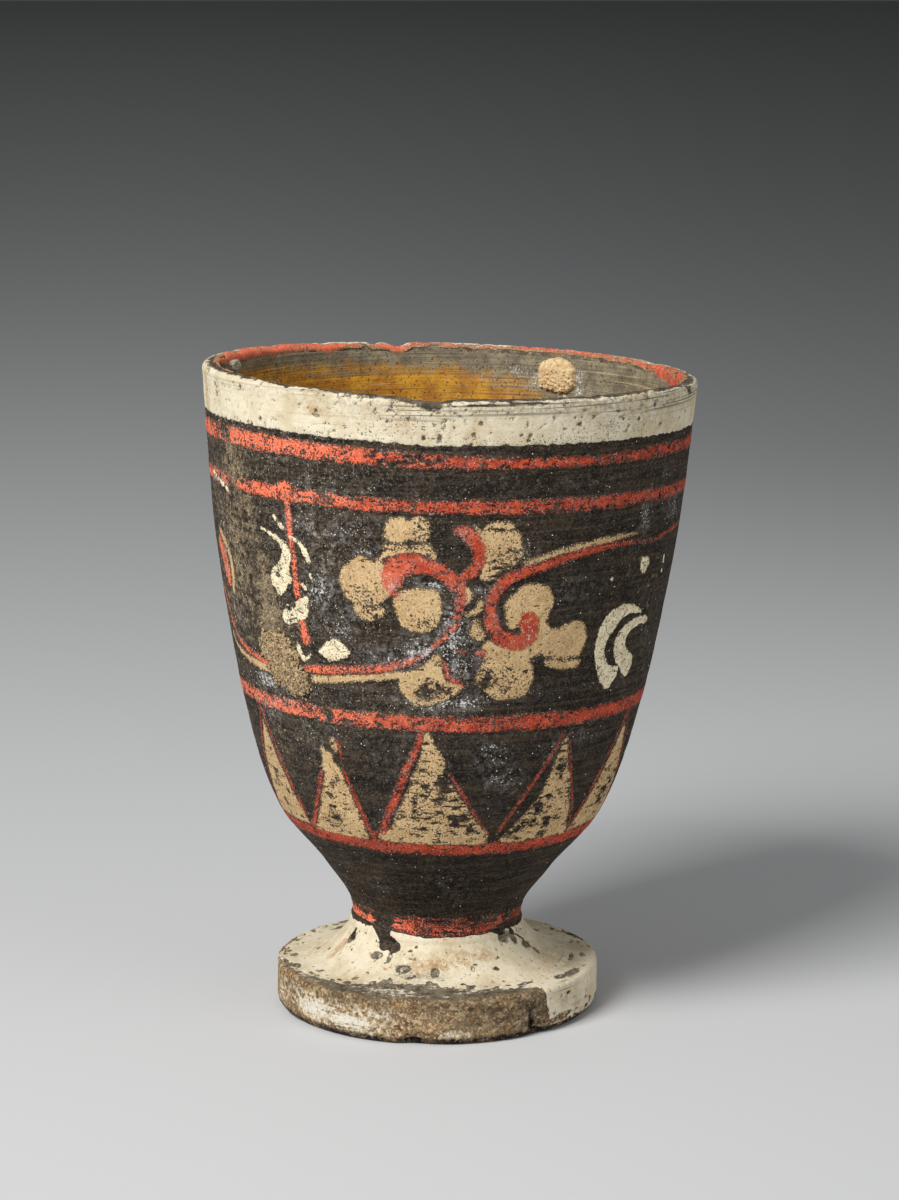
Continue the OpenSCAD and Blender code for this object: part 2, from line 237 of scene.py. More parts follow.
def lip_line(down_out, down_in):
    """Over the lip, from a depth outside to a depth inside."""
    up = np.linspace(LIP_Z - down_out, LIP_Z, 24)[:-1]
    down = np.linspace(LIP_Z, LIP_Z - down_in, 24)[1:]
    return np.concatenate([wall_points(up), lip_arc(180, 25), columns_of(inside_radius(down), down)])


def inside_line(top, step):
    """Down the inner wall from a height and over the rounded floor to the axis."""
    z = np.arange(top, FLOOR_Z + FLOOR_ROUND, -step)
    a = np.radians(np.linspace(90, 0, 19))
    floor = FLOOR_Z + FLOOR_ROUND * (1 - np.cos(a))
    return np.concatenate([columns_of(inside_radius(z), z), columns_of(inside_radius(floor) * np.sin(a), floor)])


# Which points of the foot's outline are its side, and which are well inside its edge
FOOT_SIDE, FOOT_DOME = slice(0, 27), slice(36, None)


def foot_line():
    """Up the foot's edge, in over its rising top and a little way up the stem."""
    dome_r = FOOT_R - FOOT_TOP_ROUND
    top = FOOT_EDGE - FOOT_TOP_ROUND
    side = np.linspace(FOOT_LOW_ROUND, top, 16)[1:-1]
    s = np.linspace(1, 0, 40)
    return np.concatenate([
        arc((FOOT_R - FOOT_LOW_ROUND, FOOT_LOW_ROUND), (FOOT_LOW_ROUND, FOOT_LOW_ROUND), np.linspace(-90, 0, 9)),
        columns_of(np.full(len(side), FOOT_R), side),
        arc((dome_r, top), (FOOT_TOP_ROUND, FOOT_TOP_ROUND), np.linspace(0, 80, 9)),
        columns_of(ROOT_R + s * (dome_r - ROOT_R), FOOT_EDGE + FOOT_RISE * (1 - s) ** FOOT_HOLLOW),
        wall_points(np.linspace(FOOT_EDGE + FOOT_RISE + 0.5, BLACK_LOW + 0.6, 7)),
    ])


# The lip is not level: its tilt, stops of angle and rise, and chips with their angle, half width and depth
LIP_TILT = 0.29
LIP_RISES = (
    (-165, 0.05), (-103, 0.3), (-62, 0.45), (-30, 0.1), (-13, -0.2), (-4, -0.4), (5, -0.15), (25, 0.1), (52, 0.4),
    (95, -0.15), (150, 0.0),
)
LIP_CHIPS = ((-4, 4.5, 0.45), (-166, 2.6, 0.9), (-160, 1.4, 0.4), (72, 2.2, 0.3), (118, 2.6, 0.3), (-128, 2.0, 0.3))


def settle(phi, z):
    """How far the uneven lip lifts or lowers the wall."""
    rise = round_the_cup(phi, LIP_RISES) - LIP_TILT * np.sin(np.radians(phi))
    lift = rise * smooth(96, 129, z)
    chip = 0
    for angle, half, depth in LIP_CHIPS:
        chip = chip + depth * np.exp(-(turn_from(phi, angle) / half) ** 2)
    nibble = 0.5 * np.clip(wall_noise(phi, 0 * z, 1.6, 3, 5, 2) - 0.55, 0, 1)
    return lift - chip * smooth(124.5, 129, z) - nibble * smooth(127.6, 129, z)


# Foot flaws: angle, height and half sizes of notches in its edge, with their depth
FOOT_NOTCHES = (
    (36.0, 2.6, 0.7, 2.2, 1.5), (37.5, 1.0, 1.5, 1.2, 1.3), (-8, 0.5, 1.9, 1.1, 1.6), (-3, 0.2, 3.0, 0.8, 0.8),
    (112, 8.6, 3, 1.5, 0.8), (-140, 0.8, 3, 1.4, 0.9), (170, 8.8, 2.4, 1.4, 0.7),
)


def foot_wear(phi, z):
    """How far the foot's surface lies back from a true disc."""
    low = 0.9 * (wall_noise(phi, z, 7, 5, 41, 3) - 0.35)
    return spots(phi, z, FOOT_NOTCHES, FOOT_R) + 0.12 * low


# Meshes

def faces_to_mesh(name, points, faces):
    """A mesh from points and arrays of faces, one array for each number of corners."""
    loops = np.concatenate([f.ravel() for f in faces]).astype(np.int32)
    sizes = np.concatenate([np.full(len(f), f.shape[1]) for f in faces])
    mesh = bpy.data.meshes.new(name)
    mesh.vertices.add(len(points))
    mesh.vertices.foreach_set("co", np.asarray(points, np.float32).ravel())
    mesh.loops.add(len(loops))
    mesh.loops.foreach_set("vertex_index", loops)
    mesh.polygons.add(len(sizes))
    mesh.polygons.foreach_set("loop_start", np.concatenate([[0], np.cumsum(sizes)[:-1]]).astype(np.int32))
    mesh.update(calc_edges=True)
    return mesh


def unrolled(name, phi, r, z, nr, nz, share, faces, marks):
    """An unrolled mesh: angle, radius and height as its coordinates, with what the wrapping needs."""
    mesh = faces_to_mesh(name, columns_of(np.radians(phi), r * MM, z * MM), faces)
    out = mesh.attributes.new("out", "FLOAT_VECTOR", "POINT")
    out.data.foreach_set("vector", columns_of(0 * nr, nr, nz).astype(np.float32).ravel())
    for mark, values in {"share": share, **marks}.items():
        layer = mesh.attributes.new(mark, "FLOAT", "POINT")
        layer.data.foreach_set("value", np.broadcast_to(values, phi.shape).astype(np.float32).copy())
    return mesh


def spun(outline, columns, closed):
    """Angles, measures and faces of a surface spun all the way round, with a single point at each end on the axis."""
    r = outline.points[:, 0]
    steps = np.arange(columns) * 360 / columns
    phi, row, start = [], [], []
    for i, radius in enumerate(r):
        start.append(sum(len(p) for p in phi))
        pole = radius < 1e-6
        phi.append(np.zeros(1) if pole else steps)
        row.append(np.full(1 if pole else columns, i))
    faces = []
    j = np.arange(columns)
    k = (j + 1) % columns
    count = len(r)
    for i in range(count if closed else count - 1):
        n = (i + 1) % count
        a, b = start[i], start[n]
        if len(phi[i]) == 1:
            faces.append(columns_of(np.full(columns, a), b + k, b + j))
        elif len(phi[n]) == 1:
            faces.append(columns_of(a + j, a + k, np.full(columns, b)))
        else:
            faces.append(columns_of(a + j, a + k, b + k, b + j))
    return np.concatenate(phi), np.concatenate(row), faces


def stitched(columns, rings, first=0):
    """Faces between rings of points that follow one another."""
    j = np.arange(columns)
    k = (j + 1) % columns
    starts = first + columns * np.arange(rings)
    return [columns_of(a + j, b + j, b + k, a + k) for a, b in zip(starts[:-1], starts[1:])]


def trimmed(field, phi, s, ring):
    """The part of a grid where a field is above zero: places, field values, faces and the rim's edges."""
    field = field.copy()
    for edge in (np.s_[:, 0], np.s_[:, -1]) + (() if ring else (np.s_[0], np.s_[-1])):
        field[edge] = np.minimum(field[edge], OFF_EDGE)
    inside = field > 0
    nxt = np.roll(field, -1, 0)
    flat = inside != (nxt > 0)
    if not ring:
        flat[-1] = False
    tall = inside[:, :-1] != inside[:, 1:]
    ids = np.full(field.shape, -1)
    ids[inside] = np.arange(inside.sum())
    flat_ids = np.full(field.shape, -1)
    flat_ids[flat] = inside.sum() + np.arange(flat.sum())
    tall_ids = np.full(tall.shape, -1)
    tall_ids[tall] = inside.sum() + flat.sum() + np.arange(tall.sum())

    i, j = np.nonzero(inside)
    place_phi, place_s, value = [phi[i]], [s[j]], [field[i, j]]
    i, j = np.nonzero(flat)
    t = np.clip(field[i, j] / (field[i, j] - nxt[i, j]), 0.08, 0.92)
    place_phi.append(phi[i] + t * (phi[1] - phi[0]))
    place_s.append(s[j])
    value.append(0 * t)
    i, j = np.nonzero(tall)
    t = np.clip(field[i, j] / (field[i, j] - field[i, j + 1]), 0.08, 0.92)
    place_phi.append(phi[i])
    place_s.append(s[j] + t * (s[j + 1] - s[j]))
    value.append(0 * t)

    across = len(phi) if ring else len(phi) - 1
    i, j = np.meshgrid(np.arange(across), np.arange(len(s) - 1), indexing="ij")
    n = (i + 1) % len(phi)
    corner = [ids[i, j], ids[n, j], ids[n, j + 1], ids[i, j + 1]]
    edge = [flat_ids[i, j], tall_ids[n, j], flat_ids[i, j + 1], tall_ids[i, j]]
    code = sum((corner[c] >= 0).astype(int) << c for c in range(4))
    faces, rims = [], []
    for case in range(1, 16):
        here = code == case
        if not here.any():
            continue
        walk, cut = [], []
        for c in range(4):
            if case >> c & 1:
                walk.append(corner[c][here])
                cut.append(False)
            if (case >> c & 1) != (case >> (c + 1) % 4 & 1):
                walk.append(edge[c][here])
                cut.append(True)
        faces.append(np.stack(walk, 1))
        for k in range(len(walk)):
            m = (k + 1) % len(walk)
            if cut[k] and cut[m]:
                rims.append(columns_of(walk[k], walk[m]))
    return np.concatenate(place_phi), np.concatenate(place_s), np.concatenate(value), faces, np.concatenate(rims)


# Drawing with a brush

def curve_through(points, steps=4, closed=False):
    """A smooth line through given points."""
    p = np.asarray(points, float)
    n = len(p)
    pick = (lambda i: p[i % n]) if closed else (lambda i: p[min(max(i, 0), n - 1)])
    out = []
    for i in range(n if closed else n - 1):
        a, b, c, d = pick(i - 1), pick(i), pick(i + 1), pick(i + 2)
        for k in range(steps):
            t = k / steps
            bend = (2 * a - 5 * b + 4 * c - d) * t**2 + (3 * b - a - 3 * c + d) * t**3
            out.append(0.5 * (2 * b + (c - a) * t + bend))
    if not closed:
        out.append(p[-1])
    return np.array(out)


def along_piece(u, v, a, b):
    """How far along a straight piece each place lies, from 0 to 1, and how far off it."""
    d = b[:2] - a[:2]
    t = np.clip(((u - a[0]) * d[0] + (v - a[1]) * d[1]) / max(d @ d, 1e-9), 0, 1)
    return t, np.hypot(u - a[0] - t * d[0], v - a[1] - t * d[1])


def brushed(u, v, line):
    """How deep places lie inside a stroke along a line of places and widths."""
    best = np.full(u.shape, BARE)
    for a, b in zip(line[:-1], line[1:]):
        t, off = along_piece(u, v, a, b)
        best = np.maximum(best, (a[2] + t * (b[2] - a[2])) / 2 - off)
    return best


def sheet_grid(columns, s, start=-180, span=360):
    """Angles, and the grid that they make with measures along an outline."""
    phi = start + np.arange(columns) * span / columns
    return phi, *np.meshgrid(phi, s, indexing="ij")


class Canvas:
    """A drawing on the wall: how deep each place lies inside the paint, in millimetres."""

    def __init__(self, low, high, radius=PANEL_R, columns=PANEL_COLUMNS):
        self.z = np.arange(low - CELL, high + 1.5 * CELL, CELL)
        self.phi, self.grid_phi, self.grid_z = sheet_grid(columns, self.z)
        self.radius = radius
        self.field = np.full(self.grid_z.shape, BARE)

    def line(self, points, steps, closed=False):
        """A smooth line through points, with its angles as lengths on the wall."""
        line = curve_through(points, steps, closed)
        line[:, 0] = np.radians(line[:, 0]) * self.radius
        return line

    def part(self, points, turn, margin):
        """Grid places near some points, as widths and heights from the turn."""
        points = np.asarray(points, float)
        reach = math.degrees(margin / self.radius)
        low, high = points[:, 0].min() + turn - reach, points[:, 0].max() + turn + reach
        columns = np.nonzero(np.abs(turn_from(self.phi, (low + high) / 2)) <= (high - low) / 2)[0]
        rows = np.nonzero((self.z > points[:, 1].min() - margin) & (self.z < points[:, 1].max() + margin))[0]
        u = np.radians(turn_from(self.phi[columns], turn)) * self.radius
        return np.ix_(columns, rows), u[:, None] + 0 * self.z[rows], 0 * u[:, None] + self.z[rows]

    def lay(self, where, depth, keep=False):
        """Adds paint, or keeps only what lies under it."""
        self.field[where] = np.minimum(self.field[where], depth) if keep else np.maximum(self.field[where], depth)

    def stroke(self, points, turns=PANELS):
        """A brush stroke through points of angle, height and width."""
        line = self.line(points, 4)
        for turn in turns:
            where, u, v = self.part(points, turn, 4)
            self.lay(where, brushed(u, v, line))

    def blob(self, points, turns=PANELS, hole=False):
        """A patch inside a smooth closed outline, or a hole of that shape."""
        line = self.line(points, 3, True)
        for turn in turns:
            where, u, v = self.part(points, turn, 3)
            gap = np.full(u.shape, -BARE)
            odd = np.zeros(u.shape, bool)
            for a, b in zip(line, np.roll(line, -1, 0)):
                gap = np.minimum(gap, along_piece(u, v, a, b)[1])
                if a[1] != b[1]:
                    odd ^= ((a[1] > v) != (b[1] > v)) & (u < (b[0] - a[0]) * (v - a[1]) / (b[1] - a[1]) + a[0])
            depth = np.where(odd, gap, -gap)
            self.lay(where, -depth if hole else depth, hole)

    def disc(self, place, turns=PANELS, hole=False):
        """A round dab, or a round hole, at an angle and a height with a radius."""
        for turn in turns:
            where, u, v = self.part([place], turn, place[2] + 2)
            depth = place[2] - np.hypot(u - math.radians(place[0]) * self.radius, v - place[1])
            self.lay(where, -depth if hole else depth, hole)

    def covers(self, phi, s, r, z):
        """Whether places on the wall lie on this drawing."""
        i = np.round((phi - self.phi[0]) * len(self.phi) / 360).astype(int) % len(self.phi)
        j = np.clip(np.round((z - self.z[0]) / CELL).astype(int), 0, len(self.z) - 1)
        return smooth(0, 0.3, self.field[i, j])

    def ragged(self, amount, across, up, seed):
        """Makes every edge uneven."""
        self.field += amount * 2 * (wall_noise(self.grid_phi, self.grid_z, across, up, seed) - 0.5)

    def flaked(self, level, across, up, seed, octaves=3):
        """Takes paint off where noise rises above a level, which may change over the wall."""
        off = wall_noise(self.grid_phi, self.grid_z, across, up, seed, octaves)
        self.field = np.minimum(self.field, (level - off) * 3.0)


# What lies on the wall, as places with an angle, a height, half sizes and a strength: bloom is a pale salt haze,
# and the smear a brown film of soil

BLOOM = (
    (-32, 91, 5, 6, 0.9), (-27, 84, 6, 4, 0.8), (-6, 80.5, 6, 4, 1.0), (-10, 78, 5, 3, 0.9), (4, 78, 4, 5, 0.9),
    (-4, 70.5, 10, 1.6, 1.0), (6, 70.5, 6, 2, 1.0), (2, 74, 3, 3, 0.7), (-36, 103, 7, 4, 0.7), (-23, 103, 7, 4, 0.7),
    (-55, 70.5, 7, 3, 1.0), (-47, 67.5, 5, 2, 0.9), (-70, 96, 2, 12, 0.6), (54, 104.8, 2.2, 5, 0.9),
    (14, 60, 5, 4, 0.7), (17, 55, 4, 3, 0.8), (33, 60, 4, 3, 0.6), (-12.5, 93.5, 2, 2.4, 0.9),
    (-6, 98.5, 4, 1.2, 0.5), (3, 92, 2, 3, 0.8), (4, 103.5, 2, 2, 0.8), (12, 88, 2, 3, 0.7), (-31, 94, 6, 9, 0.55),
    (-24, 102, 6, 3, 0.5), (-30, 82, 5, 4, 0.5), (20, 72, 8, 3, 0.5), (-40, 60, 6, 6, 0.5), (2, 84, 5, 9, 0.95),
    (-3, 93.5, 5, 1.6, 0.9), (-8, 94, 4, 2, 0.6), (-15, 79, 8, 3, 0.75), (-19, 99.5, 3, 1.4, 0.9),
    (-56, 65, 6, 4, 0.8), (-46, 69.5, 3, 3, 0.9), (-70, 108.2, 6, 1.0, 1.0), (18, 100, 3, 1.6, 0.9),
    (70, 105, 5, 4, 0.75), (-2, 69.8, 8, 2.2, 0.8), (-25, 87, 6, 4, 0.6), (-33, 63, 6, 2, 0.6), (56, 73, 3, 3, 0.5),
    (64, 79, 4, 5, 0.45), (-67, 84, 4, 7, 0.6), (-28, 111, 9, 3, 0.5), (30, 92, 5, 4, 0.4), (-8, 58, 9, 5, 0.45),
    (20, 54, 6, 6, 0.5), (-15, 47, 5, 4, 0.35), (45, 62, 6, 3, 0.5), (-30, 28, 5, 4, 0.45), (12, 26, 5, 3, 0.35),
    (6, 79, 6, 5, 0.7), (9, 93, 3, 2, 0.8), (-36, 107, 4, 2, 0.6), (62, 113, 5, 3, 0.5), (35, 113, 7, 2, 0.35),
    (150, 80, 10, 9, 0.7), (-160, 100, 9, 5, 0.6), (120, 60, 8, 8, 0.6), (-120, 72, 8, 10, 0.6),
    (175, 58, 9, 5, 0.5), (100, 95, 6, 9, 0.5),
)
SMEAR = (
    (-66, 121, 5, 6, 0.6), (-61.4, 115, 6, 5, 0.75), (-59, 110, 6, 5, 0.75), (-56, 105, 6, 5, 0.75),
    (-53, 100, 5, 5, 0.7), (-51, 95, 5, 5, 0.7), (-49.4, 90, 6, 5, 0.9), (-49, 84, 6.5, 5, 1.0),
    (-46, 76, 7, 7, 0.95), (-45, 69, 5, 3, 0.6), (-74, 106, 7, 14, 0.55), (-62, 95, 12, 30, 0.72),
    (-60, 112, 9, 10, 0.75), (-72, 84, 9, 26, 0.6), (-58, 55, 10, 14, 0.55), (-31, 98, 9, 14, 0.5),
    (-66, 88, 7, 12, 0.5), (-56, 84, 6, 10, 0.6), (-62, 66.5, 7, 3, 0.7), (-16, 87, 5, 2, 0.5),
    (-26, 112, 16, 4, 0.4), (18, 100, 7, 6, 0.4), (50, 98, 12, 9, 0.45), (62, 90, 10, 14, 0.5),
    (34, 113, 18, 2.5, 0.4), (-60, 58, 9, 9, 0.45), (-34, 84, 7, 6, 0.4), (-40, 48, 6, 6, 0.4), (58, 60, 8, 8, 0.4),
    (-28, 33, 8, 6, 0.4), (70, 74, 7, 9, 0.45), (-90, 100, 12, 18, 0.4), (160, 108, 14, 6, 0.5),
    (-140, 70, 12, 10, 0.5), (95, 75, 8, 16, 0.4), (-165, 52, 12, 10, 0.4), (130, 96, 14, 10, 0.4),
)


def bloom_at(phi, z):
    """Strength of the salt haze on the wall."""
    cloud = wall_noise(phi, z, 13, 9, 61, 3)
    return np.clip(np.maximum(spots(phi, z, BLOOM), 0.26 * smooth(0.35, 0.9, cloud)), 0, 1)


def soil_at(phi, z):
    """Strength of the brown film on the wall."""
    cloud = wall_noise(phi, z, 16, 11, 71, 3)
    return np.clip(np.maximum(spots(phi, z, SMEAR), 0.3 * smooth(0.5, 0.95, cloud)), 0, 1)


# Shared node building

FLOAT, COLOUR, VECTOR, WHOLE = "NodeSocketFloat", "NodeSocketColor", "NodeSocketVector", "NodeSocketInt"
GEOMETRY, MATERIAL = "NodeSocketGeometry", "NodeSocketMaterial"


class Nodes:
    """Short ways to place and join nodes in a tree."""

    inputs = place = None

    def __init__(self, tree):
        self.tree = tree

    def add(self, kind, values=(), **settings):
        """A node with its settings and what its inputs are fed."""
        node = self.tree.nodes.new(kind)
        for key, value in settings.items():
            setattr(node, key, value)
        for key, value in dict(values).items():
            self.feed(node.inputs[key], value)
        return node

    def out(self, kind, values=(), **settings):
        """The first output of a new node."""
        return self.add(kind, values, **settings).outputs[0]

    def feed(self, socket, value):
        """Joins a socket to another, or sets its value."""
        if isinstance(value, bpy.types.NodeSocket):
            self.tree.links.new(value, socket)
        elif value is not None:
            socket.default_value = value

    def named(self, colour):
        """A colour by the name of an input, or as it is."""
        return self.inputs[colour] if isinstance(colour, str) else colour

    def math(self, operation, *values):
        return self.out("ShaderNodeMath", enumerate(values), operation=operation)

    def plus(self, a, b):
        return self.math("ADD", a, b)

    def less(self, a, b):
        return self.math("SUBTRACT", a, b)

    def times(self, a, b):
        return self.math("MULTIPLY", a, b)

    def most(self, a, b):
        return self.math("MAXIMUM", a, b)

    def over(self, size):
        return self.math("DIVIDE", 1.0, size)

    def part(self, base, share, value):
        """A base with a share of a value added."""
        return self.plus(base, self.times(value, share))

    def joined(self, x, y, z):
        return self.out("ShaderNodeCombineXYZ", {0: x, 1: y, 2: z})

    def step(self, value, low, high):
        """A soft step from low to high."""
        return self.out(
            "ShaderNodeMapRange", {"Value": value, "From Min": low, "From Max": high}, interpolation_type="SMOOTHSTEP")

    def edge(self, value, low, width):
        """A soft step of a width."""
        return self.step(value, low, self.plus(low, width))

    def noise(self, scale, detail=3.0, roughness=0.55, vector=None):
        """Noise at a vector, or else at the place on the piece."""
        vector = self.place if vector is None else vector
        return self.out("ShaderNodeTexNoise", {
            "Vector": vector, "Scale": scale, "Detail": detail, "Roughness": roughness})

    def mottle(self, size, low=0.35, high=0.65, detail=4.0):
        """Soft patches of a size in millimetres."""
        return self.step(self.noise(1 / (size * MM), detail), low, high)

    def mark(self, name):
        """A value that the piece carries on its points."""
        return self.add("ShaderNodeAttribute", attribute_name=name).outputs["Fac"]

    def mix(self, factor, a, b):
        """From one colour to another."""
        return self.add("ShaderNodeMix", {0: factor, 6: self.named(a), 7: self.named(b)}, data_type="RGBA").outputs[2]

    def layered(self, colour, *layers):
        """A colour under layers, each with its mask, its strength and its own colour."""
        for mask, strength, above in layers:
            colour = self.mix(self.times(mask, strength), colour, above)
        return colour

    def effect(self, name, values, output=0):
        """An output of a shared effect, placed here with its own values."""
        node = self.add("ShaderNodeGroup", {"Place": self.place, **values}, node_tree=shared_group(name))
        return node.outputs[output]

    def flecks(self, size, amount, edge=0.06):
        return self.effect("flecks", {"Size": size * MM, "Amount": amount, "Edge": edge})

    def wheel(self, pitch, length, amount, output="Mask"):
        return self.effect("wheel lines", {"Pitch": pitch * MM, "Length": length * MM, "Amount": amount}, output)


def linear(colour):
    """A display colour as the shader takes it."""
    c = [v / 12.92 if v <= 0.04045 else ((v + 0.055) / 1.055) ** 2.4 for v in colour[:3]]
    return (*c, 1.0)


def new_group(name, kind, inputs, outputs):
    """An empty node group with named sockets; each input has a name, a type and a default."""
    tree = bpy.data.node_groups.new(name, kind)
    for label, socket, default in inputs:
        item = tree.interface.new_socket(label, in_out="INPUT", socket_type=socket)
        if default is not None:
            item.default_value = default
    for label, socket in outputs:
        tree.interface.new_socket(label, in_out="OUTPUT", socket_type=socket)
    n = Nodes(tree)
    n.inputs = n.add("NodeGroupInput").outputs
    n.place = n.inputs.get("Place")
    return n, n.inputs, n.add("NodeGroupOutput").inputs


def effect_group(name, inputs, *outputs):
    """An empty shader group that also takes the place on the piece."""
    return new_group(name, "ShaderNodeTree", [("Place", VECTOR, None)] + inputs, outputs)


def speckle_group():
    """Small separate flecks of a size."""
    n, i, o = effect_group(
        "flecks", [("Size", FLOAT, 1.0), ("Amount", FLOAT, 0.3), ("Edge", FLOAT, 0.06)], ("Mask", FLOAT))
    cells = n.noise(n.over(i["Size"]), 2.0, 0.5)
    n.feed(o["Mask"], n.edge(cells, n.part(0.8, -0.5, i["Amount"]), i["Edge"]))
    return n.tree


def wheel_group():
    """Fine level lines left by the wheel."""
    n, i, o = effect_group(
        "wheel lines", [("Pitch", FLOAT, 0.001), ("Length", FLOAT, 0.03), ("Amount", FLOAT, 0.5)],
        ("Mask", FLOAT), ("Height", FLOAT))
    flat, tall = n.over(i["Length"]), n.over(i["Pitch"])
    drawn_out = n.out("ShaderNodeVectorMath", {0: n.place, 1: n.joined(flat, flat, tall)}, operation="MULTIPLY")
    lines = n.noise(1.0, 3.0, 0.6, drawn_out)
    n.feed(o["Mask"], n.edge(lines, n.part(0.75, -0.4, i["Amount"]), 0.12))
    n.feed(o["Height"], lines)
    return n.tree


def bloom_group():
    """A pale salt haze and specks over a colour, where the surface is marked for it."""
    n, i, o = effect_group(
        "salt bloom", [("Colour", COLOUR, None), ("Haze", COLOUR, None), ("Strength", FLOAT, 1.0)], ("Colour", COLOUR))
    mark = n.times(n.mark("bloom"), i["Strength"])
    veil = n.step(n.noise(700.0, 6.0, 0.7), 0.46, 0.72)
    dots = n.edge(n.noise(2100.0, 3.0, 0.6), n.part(0.77, -0.24, mark), 0.08)
    crusts = n.edge(n.noise(1000.0, 6.0, 0.75), n.part(0.82, -0.31, mark), 0.06)
    body = n.times(veil, n.times(n.math("POWER", mark, 1.5), 0.5))
    grit = n.times(n.most(dots, crusts), n.times(n.step(mark, 0.03, 0.5), 0.92))
    n.feed(o["Colour"], n.mix(n.most(body, grit), "Colour", "Haze"))
    return n.tree


# How dark earth is between its grains, as the shader takes it
EARTH_SHADOW = (0.02, 0.015, 0.01, 1.0)


def soil_group():
    """A brown earth film over a colour, where the surface is marked for it."""
    n, i, o = effect_group(
        "earth film", [("Colour", COLOUR, None), ("Earth", COLOUR, None), ("Strength", FLOAT, 1.0)], ("Colour", COLOUR))
    mark = n.times(n.mark("soil"), i["Strength"])
    film = n.edge(n.noise(700.0, 5.0, 0.7), n.part(0.72, -0.45, mark), 0.2)
    loose = n.edge(n.noise(3000.0, 2.0, 0.5), n.part(0.6, -0.16, mark), 0.07)
    mask = n.times(n.times(film, n.step(mark, 0.05, 0.5)), n.part(0.34, 0.66, loose))
    grain = n.step(n.noise(2200.0, 2.0, 0.5), 0.35, 0.65)
    n.feed(o["Colour"], n.mix(mask, "Colour", n.mix(grain, n.mix(0.45, "Earth", EARTH_SHADOW), "Earth")))
    return n.tree


GROUND_COLOURS = ("black", "black_brown", "worn_brown", "soot", "clay", "salt")


def ground_group():
    """The black ground: brown where it is thin, with wheel lines, and gritty where the surface is marked for it."""
    n, _, o = effect_group("black ground", [(name, COLOUR, None) for name in GROUND_COLOURS], ("Colour", COLOUR))
    gritty = n.times(n.mark("gritty"), n.part(0.3, 0.7, n.mottle(2.4, 0.42, 0.62, 5.0)))
    n.feed(o["Colour"], n.layered(
        n.mix(n.mottle(4.5, 0.38, 0.64), "black", "black_brown"),
        (n.wheel(0.8, 22, 0.7), 0.4, "worn_brown"),
        (n.mottle(1.5, 0.5, 0.74, 6.0), n.part(0.35, 0.5, gritty), "worn_brown"),
        (n.wheel(0.35, 6, 0.55), 0.6, "soot"),
        # the deep mark darkens to soot: painted shade low under the bowl, darker patches of the coat elsewhere
        (n.mark("deep"), n.part(0.15, 0.8, n.mottle(1.1, 0.42, 0.58)), "soot"),
        (n.mottle(0.7, 0.46, 0.66, 5.0), n.part(0.08, 0.35, gritty), "clay"),
        (n.flecks(0.5, 0.42), 0.75, "soot"),
        (n.flecks(0.34, 0.4), n.part(0.12, 0.7, gritty), "salt")))
    return n.tree


def grain_group():
    """The uneven, gritty height of a dry surface."""
    n, i, o = effect_group("dry grain", [("Fine", FLOAT, 0.0004), ("Coarse", FLOAT, 0.003)], ("Height", FLOAT))
    fine, coarse = (n.noise(n.over(i[size]), 4.0, 0.6) for size in ("Fine", "Coarse"))
    n.feed(o["Height"], n.part(coarse, 0.35, fine))
    return n.tree


EFFECTS = {
    "flecks": speckle_group, "wheel lines": wheel_group, "salt bloom": bloom_group, "earth film": soil_group,
    "dry grain": grain_group, "black ground": ground_group,
}


def shared_group(name):
    """One of the shared effects, built when it is first asked for."""
    return bpy.data.node_groups.get(name) or EFFECTS[name]()


class Finish(Nodes):
    """A material under way: its place on the piece, its colours and its shader."""

    def __init__(self, name):
        self.material = bpy.data.materials.new(name)
        self.material.use_nodes = True
        super().__init__(self.material.node_tree)
        self.shader = self.tree.nodes["Principled BSDF"]
        self.place = self.add("ShaderNodeTexCoord").outputs["Object"]

    def named(self, colour):
        """A colour by its name in the settings, or as it is."""
        return linear(getattr(bpy.context.scene.cup_colours, colour)) if isinstance(colour, str) else colour

    def ground(self):
        """The colour of the black ground here."""
        return self.effect("black ground", {name: self.named(name) for name in GROUND_COLOURS})

    def frayed(self, reach, size):
        """Fine breaks along the edges of a paint sheet."""
        grain = self.times(self.mottle(size, 0.3, 0.7, 3.0), reach)
        return self.step(self.less(grain, self.mark("edge")), -0.04, 0.06)

    def aged(self, colour, soil=1.0, bloom=1.0):
        """The colour under its earth film and salt bloom."""
        for effect, layer, name, strength in (
                ("earth film", "Earth", "dust", soil), ("salt bloom", "Haze", "bloom", bloom)):
            if strength:
                colour = self.effect(effect, {"Colour": colour, layer: self.named(name), "Strength": strength})
        return colour

    def done(self, colour, rough, fine, coarse, depth, specular, extra=None):
        """Joins colour, roughness and relief to the shader."""
        height = self.effect("dry grain", {"Fine": fine * MM, "Coarse": coarse * MM})
        if extra is not None:
            height = self.plus(height, extra)
        bump = self.out("ShaderNodeBump", {"Height": height, "Strength": 1.0, "Distance": depth * MM})
        dull = {"Value": self.noise(500.0, 4.0), "To Min": rough[0], "To Max": rough[1]}
        self.feed(self.shader.inputs["Base Color"], colour)
        self.feed(self.shader.inputs["Roughness"], self.out("ShaderNodeMapRange", dull))
        self.feed(self.shader.inputs["Normal"], bump)
        self.shader.inputs["Specular IOR Level"].default_value = specular
        return self.material


def bare_clay(f):
    colour = f.layered(
        f.mix(f.mottle(2.2), "clay_dark", "clay"),
        (f.flecks(0.5, 0.45), 0.6, "earth"),
        (f.flecks(0.45, 0.3), 0.7, "cream"),
        (f.mark("deep"), f.part(0.4, 0.4, f.mottle(1.4)), "black_brown"))
    return f.done(colour, (0.75, 0.95), 0.35, 2.0, 0.25, 0.25)


def luting_slip(f):
    return f.done(f.mix(f.mottle(1.4), "clay", "clay_dark"), (0.8, 0.95), 0.3, 1.6, 0.2, 0.25)


